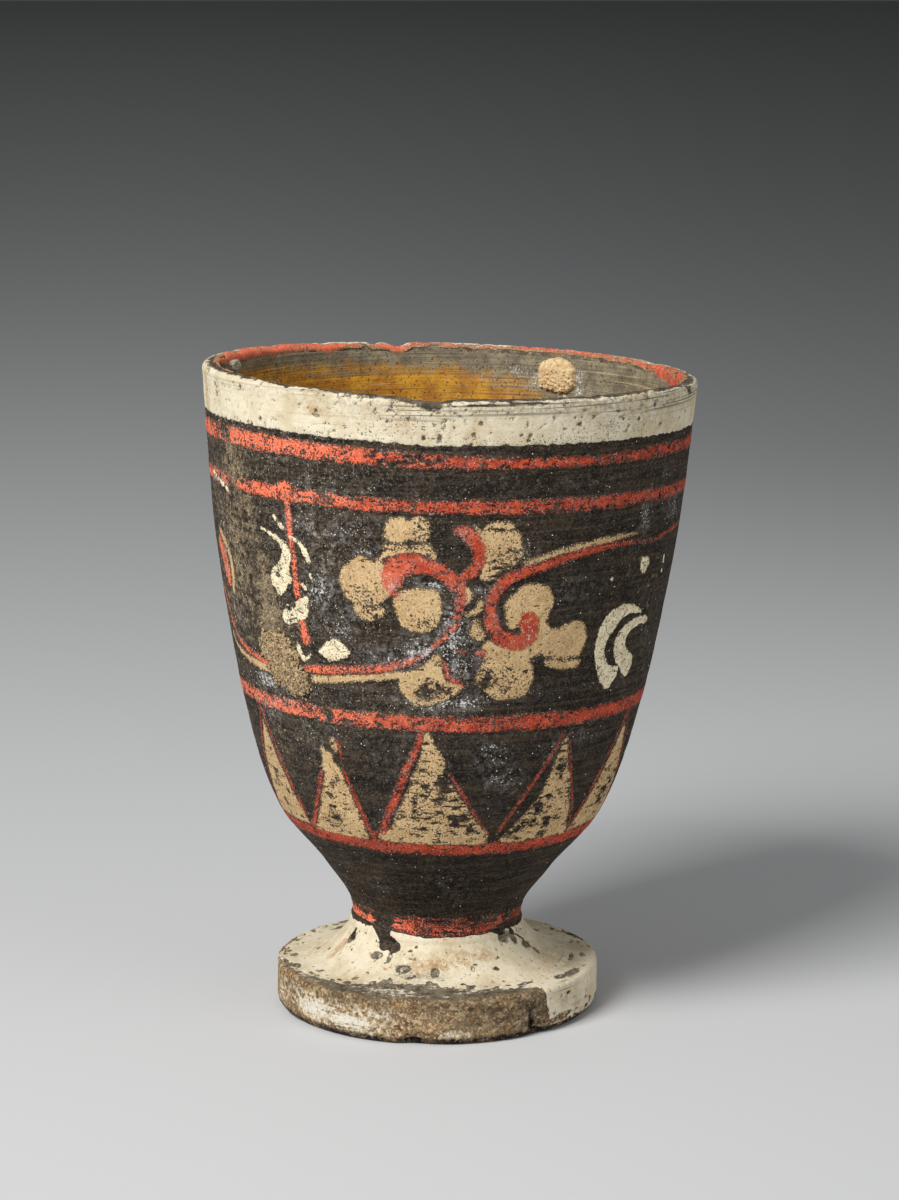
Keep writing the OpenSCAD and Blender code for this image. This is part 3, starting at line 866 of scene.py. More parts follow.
def foot_clay(f):
    """Granular and tan, with what is left of the cream, rust, and dark places: dark patches, painted shade in the
    notches, and painted contact shadow with soot along the bottom edge.
    """
    granular = f.mark("granular")
    tan = f.layered(
        "clay_dark",
        (f.mottle(1.0, 0.3, 0.7, 5.0), 0.8, "rust"),
        (f.mottle(2.6, 0.45, 0.62, 5.0), 0.75, "clay_dark"),
        (f.wheel(0.9, 12, 0.6), 0.4, "buff"),
        (f.wheel(0.6, 9, 0.5), 0.5, "worn_brown"),
        (f.mottle(3.2, 0.42, 0.66), 0.4, "buff_shade"))
    cover = f.part(f.mark("pale"), 2.6, f.less(f.noise(900.0, 5.0, 0.7), 0.5))
    cover = f.part(cover, -0.45, f.wheel(0.8, 14, 0.5))
    colour = f.layered(
        f.mix(granular, f.mix(f.mottle(1.8), "clay", "clay_dark"), tan),
        (f.flecks(0.45, 0.5), f.part(0.2, 0.5, granular), "buff"),
        (f.flecks(0.6, 0.5), f.times(granular, 0.7), "buff_shade"),
        (f.flecks(0.8, 0.48), f.times(granular, 0.7), "black_brown"),
        (f.flecks(1.3, 0.5), f.times(granular, 0.65), "buff_pale"),
        (f.flecks(1.6, 0.38), f.times(granular, 0.6), "soot"),
        (f.step(cover, 0.45, 0.85), 0.9, "cream"),
        (f.step(cover, 0.75, 1.1), 0.8, "bloom"),
        (f.flecks(1.1, 0.42, 0.1), f.times(granular, 0.75), "rust"),
        # dark: dark patches, painted shade in the notches, and painted contact shadow with soot along the bottom edge
        (f.times(f.mark("dark"), f.mottle(1.2, 0.25, 0.6)), 0.78, "black"),
        (f.flecks(0.5, 0.36), 0.4, "soot"),
        (f.flecks(0.45, 0.3), 0.4, "bloom"))
    return f.done(colour, (0.75, 0.95), 0.45, 2.0, 0.4, 0.2)


def black_ground(f):
    lines = f.times(f.wheel(0.7, 26, 0.5, "Height"), 0.7)
    return f.done(f.aged(f.ground()), (0.75, 0.95), 0.4, 1.4, 0.22, 0.15, lines)


def cream_slip(f, on_foot):
    """Cream that is streaked under the lip, and stained and thin at its edge on the foot."""
    brown = f.mix(f.mottle(0.9), "rust", "buff_shade")
    drag = f.most(f.wheel(0.46, 44, 0.62), f.times(f.mottle(0.8, 0.42, 0.62), 0.5))
    colour = f.layered(
        f.mix(f.mottle(6.0, 0.4, 0.7), "cream", "cream_shade"),
        (f.mottle(1.8, 0.46, 0.7, 6.0), 0.4 if on_foot else 0.6, "cream_shade"),
        (f.mottle(0.45, 0.5, 0.68, 3.0), 0.4, "cream_shade"),
        (f.mark("stain"), f.mottle(1.3, 0.36, 0.56, 6.0), brown),
        (f.mark("grey"), drag, "clay_dark"))
    if on_foot:
        thin = f.times(f.most(f.mottle(0.7, 0.3, 0.7, 5.0), f.wheel(0.5, 7, 0.5)), 0.75)
        thin = f.step(f.less(thin, f.mark("edge")), 0.0, 0.5)
        colour = f.layered(colour, (f.flecks(1.1, 0.36, 0.1), 0.75, brown), (thin, 0.6, "clay"))
    else:
        colour = f.layered(colour, (f.wheel(0.4, 70, 0.32), 0.5, "clay"), (f.flecks(0.8, 0.3, 0.1), 0.35, "rust"))
    pits = f.most(f.flecks(0.3, f.part(0.16, 0.34, f.mark("worn"))), f.times(f.frayed(0.35, 0.3), 0.8))
    colour = f.aged(f.layered(colour, (pits, 0.85, "black")), 0.8, 0.0)
    height = f.less(f.times(f.wheel(0.7, 40, 0.5, "Height"), 0.6), pits)
    return f.done(colour, (0.7, 0.9), 0.4, 2.6, 0.12, 0.3, height)


def red_paint(f):
    """Bright where it has kept its colour, and brighter towards the key light as painted light; hazed, and speckled
    where what lies under it shows through.
    """
    # painted light: the bright red grows towards the key light on the left of the front, along with the paint's own
    # bright places
    fresh = f.part(f.mark("fresh"), 1.2, f.less(f.noise(600.0, 4.0), 0.5))
    haze = f.most(f.times(f.mottle(1.5, 0.5, 0.76), 0.5), f.times(f.mark("bloom"), f.mottle(0.6)))
    under = f.mark("under")
    amount = f.part(f.part(0.2, 0.1, f.mark("gritty")), 0.5, f.mark("worn"))
    amount = f.part(amount, 0.3, f.mottle(3.4, 0.42, 0.6, 3.0))
    through = f.most(f.flecks(0.4, amount), f.times(f.flecks(0.75, 0.38), 0.95))
    through = f.most(f.times(through, f.part(1.0, -0.8, under)), f.frayed(0.8, 0.32))
    colour = f.layered(
        f.mix(f.mottle(2.6), "red", "red_deep"),
        (f.step(fresh, 0.2, 0.95), 1.0, "red_bright"),
        (haze, 0.6, "pink"),
        (f.mottle(0.4, 0.48, 0.66, 3.0), 0.4, "red_deep"),
        (through, 0.94, f.mix(under, f.ground(), "buff_shade")),
        (f.flecks(0.34, 0.4), f.part(0.3, 0.4, under), "bloom"))
    return f.done(f.aged(colour, 0.9, 0.9), (0.7, 0.95), 0.35, 1.6, 0.12, 0.22, f.times(through, -0.7))


def buff_paint(f):
    """Dry buff with the ground showing through in specks and level streaks."""
    worn = f.mark("worn")
    streaks = f.wheel(0.42, 2.6, f.part(0.12, 0.42, worn))
    through = f.most(f.flecks(0.38, f.part(0.27, 0.32, worn), 0.05), f.times(streaks, 0.9))
    through = f.most(through, f.frayed(0.75, 0.34))
    colour = f.layered(
        f.mix(f.mottle(3.5), "buff", "buff_shade"),
        (f.mottle(0.7, 0.48, 0.72), 0.45, "buff_pale"),
        (f.mottle(0.4, 0.46, 0.66, 3.0), 0.35, "rust"),
        (f.flecks(0.28, 0.46), 0.4, "worn_brown"),
        (f.flecks(0.36, 0.46), 0.5, "buff_pale"),
        (through, 0.94, f.ground()))
    return f.done(f.aged(colour, 0.7, 0.6), (0.75, 0.95), 0.35, 1.8, 0.12, 0.25, f.times(through, -0.8))


def white_paint(f):
    """Thick white with a few cracks."""
    cells = f.add("ShaderNodeTexVoronoi", {"Vector": f.place, "Scale": 420.0}, feature="DISTANCE_TO_EDGE")
    crack = f.times(f.less(1.0, f.step(cells.outputs["Distance"], 0.01, 0.05)), f.mottle(1.5, 0.5, 0.6))
    through = f.most(f.most(crack, f.flecks(0.3, 0.4, 0.05)), f.frayed(0.3, 0.3))
    colour = f.layered(
        "white",
        (f.mottle(2.0), 0.6, "cream_shade"),
        (f.mottle(0.7, 0.55, 0.75), 0.4, "buff"),
        (through, 0.9, f.ground()))
    return f.done(colour, (0.75, 0.95), 0.35, 1.6, 0.16, 0.25, f.times(through, -0.8))


def bowl_wash(f):
    """Ochre that has greyed in patches, with the wheel's lines in it."""
    ochre = f.mix(f.mottle(4.0), "ochre", "ochre_shade")
    olive = f.mix(f.mottle(3.0), "olive", "olive_shade")
    patchy = f.part(f.mark("ochre"), 1.1, f.less(f.noise(300.0, 5.0, 0.65), 0.5))
    patchy = f.part(patchy, -0.3, f.wheel(0.7, 30, 0.6))
    colour = f.layered(
        f.mix(f.step(patchy, 0.15, 0.75), olive, ochre),
        (f.wheel(0.4, 34, 0.6), 0.5, "clay_dark"),
        (f.wheel(0.55, 18, 0.4), 0.35, "buff_pale"),
        (f.flecks(0.45, 0.42), 0.75, "black_brown"))
    return f.done(f.aged(colour, 0.0), (0.65, 0.9), 0.4, 2.2, 0.2, 0.3, f.wheel(0.7, 45, 0.5, "Height"))


def burial_soil(f):
    colour = f.layered(
        f.mix(f.mottle(0.5, 0.42, 0.68, 5.0), "earth", "earth_dark"),
        (f.flecks(0.3, 0.5), 0.8, "buff_pale"),
        (f.flecks(0.42, 0.5), 0.8, "black_brown"),
        (f.mottle(0.6, 0.55, 0.7), 0.6, "black_brown"))
    return f.done(colour, (0.85, 1.0), 0.25, 0.9, 0.3, 0.15)


def sand_lump(f):
    colour = f.layered(f.mix(f.mottle(0.9), "lump", "buff_pale"), (f.mottle(0.4, 0.52, 0.7), 0.45, "rust"))
    return f.done(colour, (0.85, 1.0), 0.2, 0.7, 0.25, 0.15)


def slip_dab(f):
    colour = f.layered(f.mix(f.mottle(0.9), "salt", "cream_shade"), (f.flecks(0.5, 0.46), 0.7, "clay_dark"))
    return f.done(colour, (0.8, 1.0), 0.25, 0.8, 0.25, 0.2)


def salt_grains(f):
    return f.done(f.mix(f.mottle(1.2), "bloom", "white"), (0.7, 0.9), 0.2, 0.8, 0.1, 0.3)


# Each finish: its material's name and its maker
FINISHES = {
    "clay": ("bare clay", bare_clay), "slip": ("luting slip", luting_slip), "foot": ("foot clay", foot_clay),
    "black": ("black coat", black_ground), "cream": ("cream coat", lambda f: cream_slip(f, False)),
    "foot_cream": ("foot coat", lambda f: cream_slip(f, True)), "red": ("red paint", red_paint),
    "buff": ("buff paint", buff_paint), "white": ("white paint", white_paint), "wash": ("inside wash", bowl_wash),
    "earth": ("burial soil", burial_soil), "lump": ("sand lump", sand_lump), "dab": ("slip dab", slip_dab),
    "salt": ("salt specks", salt_grains),
}
made_finishes = {}


def finish(key):
    """A finish's material, made when it is first asked for."""
    if key not in made_finishes:
        name, make = FINISHES[key]
        made_finishes[key] = make(Finish(name))
    return made_finishes[key]


# Geometry Nodes: wrapping unrolled sheets on the cup, and scattering grains

def carried(n, name, kind="FLOAT"):
    """What a mesh carries on its points, in a tree."""
    return n.add("GeometryNodeInputNamedAttribute", {"Name": name}, data_type=kind).outputs["Attribute"]


def ended(n, i, o, geometry):
    """Ends a tree in real geometry that has its material."""
    real = n.out("GeometryNodeRealizeInstances", {"Geometry": geometry})
    n.feed(o["Geometry"], n.out("GeometryNodeSetMaterial", {"Geometry": real, "Material": i["Material"]}))
    return n.tree


# How far round the wall the noise of dents and of wheel rings reaches, in metres
DENT_SPREAD, RING_SPREAD = 0.045, 0.0012


def wrap_tree():
    """Wraps an unrolled mesh round the axis, gives it wheel rings and unevenness, and leans it on the foot."""
    n, i, o = new_group(
        "wrap on the cup", "GeometryNodeTree",
        [("Geometry", GEOMETRY, None), ("Lean", FLOAT, 0.0), ("Pivot height", FLOAT, 0.0), ("Ring depth", FLOAT, 0.0),
         ("Ring pitch", FLOAT, 0.003), ("Uneven depth", FLOAT, 0.0), ("Uneven size", FLOAT, 0.01),
         ("Seed", FLOAT, 0.0), ("Material", MATERIAL, None)],
        [("Geometry", GEOMETRY)])
    angle, radius, height = n.add("ShaderNodeSeparateXYZ", {0: n.out("GeometryNodeInputPosition")}).outputs
    sine, cosine = n.math("SINE", angle), n.math("COSINE", angle)

    def waves(spread, size, depth):
        place = n.joined(n.times(sine, spread), n.times(cosine, spread), height)
        noise = n.out("ShaderNodeTexNoise", {
            "Vector": place, "W": i["Seed"], "Scale": n.over(i[size]), "Detail": 2.0}, noise_dimensions="4D")
        return n.times(n.less(noise, 0.5), n.times(i[depth], 2.0))

    relief = n.plus(waves(DENT_SPREAD, "Uneven size", "Uneven depth"), waves(RING_SPREAD, "Ring pitch", "Ring depth"))
    _, out_r, out_z = n.add("ShaderNodeSeparateXYZ", {0: carried(n, "out", "FLOAT_VECTOR")}).outputs
    outer = n.plus(radius, n.times(relief, out_r))
    place = n.joined(
        n.times(outer, sine), n.times(n.times(outer, cosine), -1.0), n.plus(height, n.times(relief, out_z)))
    leaned = n.out("ShaderNodeVectorRotate", {
        "Vector": place, "Center": n.joined(0.0, 0.0, i["Pivot height"]), "Axis": (0.0, 1.0, 0.0),
        "Angle": n.times(i["Lean"], carried(n, "share"))}, rotation_type="AXIS_ANGLE")
    placed = n.out("GeometryNodeSetPosition", {"Geometry": i["Geometry"], "Position": leaned})
    return ended(n, i, o, n.out("GeometryNodeSetShadeSmooth", {"Geometry": placed, "Shade Smooth": True}))


def scatter_tree():
    """Scatters small rough grains over a surface, more of them where it is marked."""
    n, i, o = new_group(
        "scatter grains", "GeometryNodeTree",
        [("Geometry", GEOMETRY, None), ("Density", FLOAT, 1000.0), ("Smallest", FLOAT, 0.0001),
         ("Largest", FLOAT, 0.0003), ("Flatness", FLOAT, 0.6), ("Sides", WHOLE, 1), ("Seed", WHOLE, 1),
         ("Material", MATERIAL, None)],
        [("Geometry", GEOMETRY)])

    def random_from(low, high):
        return n.add("FunctionNodeRandomValue", {2: low, 3: high, "Seed": i["Seed"]}, data_type="FLOAT").outputs[1]

    points = n.add("GeometryNodeDistributePointsOnFaces", {
        "Mesh": i["Geometry"], "Density": n.times(carried(n, "grains"), i["Density"]), "Seed": i["Seed"]},
        distribute_method="RANDOM").outputs
    ball = n.out("GeometryNodeMeshIcoSphere", {"Radius": 1.0, "Subdivisions": i["Sides"]})
    bumps = n.add("ShaderNodeTexNoise", {
        "Vector": n.out("GeometryNodeInputPosition"), "Scale": 1.7, "Detail": 2.0, "Roughness": 0.55}).outputs[1]
    offset = n.out("ShaderNodeVectorMath", {0: bumps, 1: (0.5, 0.5, 0.5)}, operation="SUBTRACT")
    rough = n.out("GeometryNodeSetPosition", {"Geometry": ball, "Offset": offset})
    size = random_from(i["Smallest"], i["Largest"])
    grains = n.out("GeometryNodeInstanceOnPoints", {
        "Points": points["Points"], "Instance": rough, "Rotation": points["Rotation"],
        "Scale": n.joined(size, size, n.times(size, i["Flatness"]))})
    spin = n.joined(0.0, 0.0, random_from(0.0, 6.28))
    return ended(n, i, o, n.out("GeometryNodeRotateInstances", {"Instances": grains, "Rotation": spin}))


def settled(name, mesh, tree, values):
    """An object whose mesh has been through a tree, as a plain mesh."""
    piece = bpy.data.objects.new(name, mesh)
    bpy.context.scene.collection.objects.link(piece)
    modifier = piece.modifiers.new("shape", "NODES")
    modifier.node_group = tree
    for item in tree.interface.items_tree:
        if item.in_out == "INPUT" and item.name in values:
            modifier[item.identifier] = values[item.name]
    graph = bpy.context.evaluated_depsgraph_get()
    shaped = piece.evaluated_get(graph)
    result = bpy.data.meshes.new_from_object(shaped, preserve_all_data_layers=True, depsgraph=graph)
    piece.modifiers.remove(modifier)
    piece.data = result
    result.name = name
    bpy.data.meshes.remove(mesh)
    return piece


def tree_named(name, maker):
    """A tree by its name, built when it is first asked for."""
    return bpy.data.node_groups.get(name) or maker()


# The one seed for every piece's dents, so that layers follow the wall under them
WALL_SEED = 3.0


def wrapped(name, mesh, material, rings=1.0, uneven=1.0):
    """A piece wrapped on the cup."""
    sizes = bpy.context.scene.cup_sizes
    return settled(name, mesh, tree_named("wrap on the cup", wrap_tree), {
        "Lean": sizes.lean, "Pivot height": STEM_LOW * MM, "Ring depth": sizes.ring_depth * rings,
        "Ring pitch": sizes.ring_pitch, "Uneven depth": sizes.uneven_depth * uneven, "Uneven size": sizes.uneven_size,
        "Seed": WALL_SEED, "Material": finish(material)})


def hand_over(piece, slot, *nodes):
    """Parents the piece to its body and hides the model's parts that it replaces; the slot is not used."""
    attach(piece, BODY)
    if nodes:
        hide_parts(*nodes)


def layers():
    """Depth of the ground coat and of the paint on it, in millimetres."""
    sizes = bpy.context.scene.cup_sizes
    return sizes.ground / MM, (sizes.ground + sizes.paint) / MM


# How bright the red has stayed round the cup: angle and share. On the front this is partly painted light: brighter
# towards the key light on the left, duller to the right.
FRESH_AND_KEY_LIT = ((-100, 0.7), (-60, 1.0), (-35, 0.85), (-18, 0.5), (0, 0.35), (25, 0.25), (70, 0.15), (120, 0.5), (180, 0.6))


def paint_sheet(name, outline, canvas_phi, measures, field, low, high, material,
                ring=True, taper=0.45, share=None, lift=settle, marks=None):
    """A thin closed sheet of paint or coat where a field is above zero."""
    phi, s, depth, faces, rims = trimmed(field, canvas_phi, measures, ring)
    r, z, nr, nz = outline.at(s)
    front = low + (high - low) * (0.4 + 0.6 * smooth(0, taper, depth))
    back = low - SHEET_BACK
    rise = lift(phi, z) if lift else 0 * z
    count = len(phi)
    a, b = rims.T
    skin = faces + [f[:, ::-1] + count for f in faces] + [columns_of(b, a, a + count, b + count)]
    gritty, deep = ground_marks(phi, z)
    # partly painted light: the red brightens towards the key light round the front; the bright dot is the paint's own
    # colour
    fresh = round_the_cup(phi, FRESH_AND_KEY_LIT) + 0.7 * spots(phi, z, (DIVIDER_DOT[:2] + (2.2, 2.2, 1.0),), DOT_R)
    given = {
        "edge": depth, "bloom": bloom_at(phi, z), "soil": soil_at(phi, z), "worn": 0 * z, "fresh": fresh,
        "under": 0 * z, "gritty": gritty, "deep": deep,
        **{key: make(phi, s, r, z) for key, make in (marks or {}).items()}}
    lean = share(s) if share else 0 * s + 1
    mesh = unrolled(
        name, twice(phi), np.concatenate([r + front * nr, r + back * nr]),
        np.concatenate([z + front * nz, z + back * nz]) + twice(rise), twice(nr), twice(nz), twice(lean), skin,
        {key: twice(values) for key, values in given.items()})
    return wrapped(name, mesh, material)


def on_wall(name, canvas, low, high, material, fray=FRAY, **more):
    """A canvas laid on the outer wall, a little wider than drawn since its edge is frayed."""
    return paint_sheet(name, outer_wall(), canvas.phi, canvas.z, canvas.field + fray, low, high, material, **more)


def painted(name, canvas, colour, node, extra=0.0, **more):
    """A canvas as paint on the ground coat, a little thicker where that is given, and handed over."""
    ground, paint = layers()
    hand_over(on_wall(name, canvas, ground, paint + extra, colour, **more), colour + "_paint", node)


# The settings that a user would change

def number(label, about, default, **more):
    """A setting with its name, description and default."""
    return bpy.props.FloatProperty(name=label, description=about, default=default, **more)


def length(label, about, default, precision=5):
    """A length in metres."""
    return number(label, about, default, unit="LENGTH", precision=precision)


class CupSizes(bpy.types.PropertyGroup):
    """Sizes of the cup's finish."""

    lean: number("Lean", "Sideways lean of the bowl on its foot", math.radians(1.4), subtype="ANGLE")
    ground: length("Ground coat", "Thickness of the ground coats", 0.00025)
    paint: length("Paint", "Thickness of the paint on a ground coat", 0.00008)
    ring_depth: length("Wheel rings", "Depth of the rings left by throwing", 0.00007)
    ring_pitch: length("Ring pitch", "Distance between wheel rings", 0.0032, 4)
    uneven_depth: length("Unevenness", "Depth of the uneven surface", 0.00018)
    uneven_size: length("Uneven size", "Width of the dents in the surface", 0.011, 4)
    salt_density: number("Salt specks", "Most salt specks on a square metre", 800000.0, min=0)
    grain_density: number("Soil grains", "Most soil grains on a square metre", 2600000.0, min=0)


def colour_setting(label, about, default):
    """A display colour, from 0 to 255."""
    return bpy.props.FloatVectorProperty(
        name=label, description=about, default=[v / 255 for v in default], size=3, min=0, max=1, subtype="COLOR_GAMMA")


class CupColours(bpy.types.PropertyGroup):
    """Display colours of the cup's finishes."""

    clay: colour_setting("Clay", "Bare grey clay", (132, 121, 102))
    clay_dark: colour_setting("Dark clay", "Bare clay in its hollows", (86, 74, 60))
    black: colour_setting("Black", "Black coat", (31, 25, 20))
    black_brown: colour_setting("Brown black", "Black coat where it is thin", (52, 43, 34))
    soot: colour_setting("Soot", "Deepest black", (15, 12, 10))
    worn_brown: colour_setting("Worn brown", "Black coat where it is worn", (90, 76, 60))
    cream: colour_setting("Cream", "Cream coat", (231, 220, 193))
    cream_shade: colour_setting("Cream shade", "Cream coat where it is thin", (208, 191, 156))
    red: colour_setting("Red", "Red paint", (198, 76, 45))
    red_deep: colour_setting("Deep red", "Red paint where it is thick", (164, 54, 31))
    red_bright: colour_setting("Bright red", "Fresh red paint", (250, 124, 86))
    pink: colour_setting("Pink", "Red paint under haze", (206, 134, 110))
    buff: colour_setting("Buff", "Buff paint", (218, 184, 134))
    buff_shade: colour_setting("Buff shade", "Buff paint where it is stained", (198, 164, 116))
    buff_pale: colour_setting("Pale buff", "Buff paint where it is dry", (236, 211, 168))
    white: colour_setting("White", "White paint", (254, 240, 203))
    ochre: colour_setting("Ochre", "Wash inside the bowl", (206, 148, 40))
    ochre_shade: colour_setting("Ochre shade", "Wash where it is thick", (170, 112, 28))
    olive: colour_setting("Olive", "Wash where it has greyed", (146, 134, 108))
    olive_shade: colour_setting("Olive shade", "Greyed wash in its hollows", (112, 102, 82))
    rust: colour_setting("Rust", "Rust-brown stains", (164, 116, 66))
    earth: colour_setting("Earth", "Burial soil", (178, 152, 114))
    dust: colour_setting("Dust", "Thin film of burial soil", (184, 162, 128))
    earth_dark: colour_setting("Dark earth", "Burial soil in its hollows", (112, 91, 64))
    lump: colour_setting("Lump", "Sandy lump", (206, 172, 122))
    salt: colour_setting("Salt", "Grey salt grains in the black", (164, 156, 144))
    bloom: colour_setting("Bloom", "Salt haze", (220, 218, 214))


class CupStage(bpy.types.PropertyGroup):
    """The floor, the light and the camera."""

    floor: colour_setting("Floor", "Pale floor near the cup", (210, 210, 210))
    # The far colour, its fade and the fall-off are painted shade: the floor darkens with distance and away from the key
    # light, as light falling off would make it
    far: colour_setting("Far floor", "Floor far from the cup", (84, 84, 82))
    painted_falloff_shade: number("Fall-off", "Darkening of the far floor away from the key light", 0.3, min=0, max=1)
    floor_reach: length("Floor reach", "Radius of the floor", 400.0, 2)
    fade: length("Fade", "Distance at which the floor is half faded", 1.8, 2)
    key_power: number("Key light", "Power of the soft light at the front left", 18.5, subtype="POWER")
    fill_power: number("Fill light", "Power of the light at the right", 1.8, subtype="POWER")
    sky: number("Sky", "Strength of the light from all round", 0.26, min=0)
    camera_place: bpy.props.FloatVectorProperty(
        name="Camera", description="Place of the camera", default=(0.00264, -0.6409, 0.201), subtype="TRANSLATION")
    camera_pitch: number("Pitch", "Downward pitch of the camera", math.radians(10.47), subtype="ANGLE")
    lens: number("Lens", "Focal length for a picture height of 24 mm", 65.118, unit="CAMERA")


# Pieces

# Where the clay of the lip is dark: angle and share
LIP_DARK = ((-125, 0.2), (-100, 1), (100, 1), (115, 0.2), (180, 0.2))


def clay_bowl():
    """The thrown clay: up the wall, over the lip, and down to the floor inside."""
    z = np.concatenate([np.arange(BOWL_LOW, 118, 2.0), np.arange(118, LIP_Z - 5, 1.0)])
    inside = inside_line(LIP_Z - 6.5, 2.0)[:-1]
    outline = Outline(np.concatenate([[[0, BOWL_LOW]], wall_points(z), lip_line(5, 5), inside, [[0, FLOOR_Z]]]))
    phi, row, faces = spun(outline, BOWL_COLUMNS, False)
    r, z = outline.points[row].T
    nr, nz = outline.out[row].T
    beside_axis = r > 1
    marks = {"deep": smooth(LIP_Z - 3, LIP_Z - 1, z) * round_the_cup(phi, LIP_DARK)}
    mesh = unrolled(
        "bowl_clay", phi, r, z + settle(phi, z) * beside_axis, nr * beside_axis, nz, 1.0, faces, marks)
    return wrapped("bowl_clay", mesh, "clay")


# The foot's edge where cream is left on it and where it is dark: angle, height, half sizes and strength
FOOT_PALE = (
    (-48, 4.4, 9, 3.4, 1.0), (-33, 3.4, 10, 2.8, 1.0), (-24, 5.4, 8, 2.4, 0.7), (-58, 6.5, 8, 2, 0.6),
    (-14, 2.2, 6, 1.2, 0.5), (6, 2.2, 4.4, 1.4, 0.85), (-74, 4, 5, 4, 0.7), (-40, 6.8, 12, 1.4, 0.45),
    (30, 1.2, 3, 0.8, 0.4), (140, 4, 9, 3, 0.8), (-120, 5, 7, 3, 0.7), (180, 2, 7, 2, 0.6),
)
# The dark places at 36, 37.5 and -8 degrees sit in the notches and are painted shade there; the others are dark patches
# on the clay
FOOT_DARK = (
    (34, 5.0, 8, 4.5, 1.0), (20, 6.8, 7, 2.6, 0.9), (4, 8.0, 12, 1.4, 0.6), (-35, 8.4, 14, 1.0, 0.6),
    (36.0, 2.6, 1.1, 2.4, 1.7), (37.5, 1.2, 2.2, 1.4, 1.4), (-8, 0.8, 2.2, 1.2, 1.2), (12, 3.6, 5, 2, 0.45),
    (95, 3, 8, 3, 0.6), (-160, 6, 9, 3, 0.6),
)


def clay_foot():
    """The foot's disc, flat underneath, with its notches."""
    line = foot_line()
    top = line[line[:, 1] <= FOOT_EDGE + FOOT_RISE]
    low = np.linspace(0, FOOT_R - FOOT_LOW_ROUND, 9)[:-1]
    inner = np.linspace(1, 0, 6)[1:] * ROOT_R
    outline = Outline(np.concatenate([
        columns_of(low, 0 * low), top, columns_of(inner, 0 * inner + FOOT_EDGE + FOOT_RISE)]))
    phi, row, faces = spun(outline, FOOT_COLUMNS, False)
    r, z = outline.points[row].T
    nr, nz = outline.out[row].T
    wear = foot_wear(phi, z) * smooth(FOOT_R - 4, FOOT_R - 1, r) * smooth(-0.2, 0.5, z)
    wear = np.maximum(wear, 0) + 0.25 * (wall_noise(phi, z, 2.2, 2.2, 47, 3) - 0.5) * smooth(0, 1.5, z)
    side = smooth(FOOT_R - 2.2, FOOT_R - 0.6, r)
    pale = spots(phi, z, FOOT_PALE, FOOT_R) * side + 0.75 * (1 - side) * wall_noise(phi, r, 7, 1.0, 55, 3, 28)
    # painted contact shadow, with some soot, along the lowest two millimetres of the foot
    sooty_contact_shadow = (1 - smooth(0.9, 2.3, z)) * (0.6 + 1.6 * wall_noise(phi, z, 6, 3, 57, 3))
    marks = {
        "granular": side * (0.35 + 0.65 * wall_noise(phi, z, 9, 6, 53, 2)), "pale": pale,
        "dark": np.maximum(spots(phi, z, FOOT_DARK, FOOT_R), sooty_contact_shadow)}
    flat = smooth(0, 1, z)
    mesh = unrolled(
        "foot_clay", phi, np.maximum(r - wear * nr, 0), np.maximum(z - wear * nz, 0), nr * flat, nz * flat, 0.0, faces,
        marks)
    return wrapped("foot_clay", mesh, "foot", rings=0.6)


# The blackest places: angle, height, half sizes and strength. Those low on the bowl, at heights of 30 to 40 where the
# wall turns under, are painted shade; the others are darker patches of the coat.
DEEP = (
    (4, 30, 17, 9, 1.0), (30, 32, 8, 8, 0.8), (12, 57, 9, 6, 0.8), (-17, 57, 6, 6, 0.7), (-22, 98, 8, 6, 0.4),
    (28, 56, 5, 6, 0.6), (40, 74, 10, 6, 0.5), (36, 94, 8, 5, 0.5), (0, 113, 30, 2.0, 0.5), (150, 40, 18, 14, 0.7),
    (-130, 56, 14, 8, 0.5),
)

# How gritty the black is round the cup: angle and share
GRITTY = (
    (-110, 0.8), (-70, 1.0), (-38, 1.0), (-22, 0.75), (-8, 0.45), (8, 0.3), (25, 0.18), (60, 0.25), (80, 0.3),
    (120, 0.6), (180, 0.6),
)


def ground_marks(phi, z):
    """How gritty and how deep the black is on the wall."""
    return round_the_cup(phi, GRITTY) * (0.35 + 0.65 * smooth(48, 70, z)), spots(phi, z, DEEP, DEEP_R)


def black_coat():
    """The black ground, a thin closed shell from the stem to the white band."""
    top, stem_top = WHITE_LOW + 0.5, 23
    outer = np.concatenate([np.arange(BLACK_LOW, stem_top, 0.22), np.linspace(stem_top, top, 170)])
    inner = np.linspace(top, BLACK_LOW, 24)
    ground, _ = layers()
    r, z, nr, nz = outer_wall().at(np.concatenate([outer, inner]))
    out = np.concatenate([np.full(len(outer), ground), np.full(len(inner), -0.05)])
    out[[0, len(outer) - 1]] = 0.06
    line = Outline(columns_of(r + out * nr, z + out * nz))
    phi, row, faces = spun(line, BLACK_COLUMNS, True)
    r, z = line.points[row].T
    nr, nz = nr[row], nz[row]
    dips = wall_noise(phi, z, 0.9, 0.7, 83, 2)
    front = row < len(outer)
    relief = 0.07 * (dips - 0.5) * front
    marks = {"bloom": bloom_at(phi, z), "soil": soil_at(phi, z)}
    marks["gritty"], marks["deep"] = ground_marks(phi, z)
    marks["grains"] = np.where(front, marks["bloom"] ** 2 * 0.9 + 0.05, 0)
    mesh = unrolled("black_coat", phi, r + relief, z + settle(phi, z), nr, nz, 1.0, faces, marks)
    return wrapped("black_coat", mesh, "black")


# How far the cream band's outline turns over the lip, in degrees
RIM_TURN = 165


def rim_wall():
    """The top of the wall and most of the turn over the lip, measured by height and then along the turn."""
    z = np.arange(WHITE_LOW - 2, LIP_Z, 0.2)
    over = lip_arc(RIM_TURN, 30)
    return Outline(np.concatenate([wall_points(z), over]), np.concatenate([z, LIP_Z + run_along(over)]))


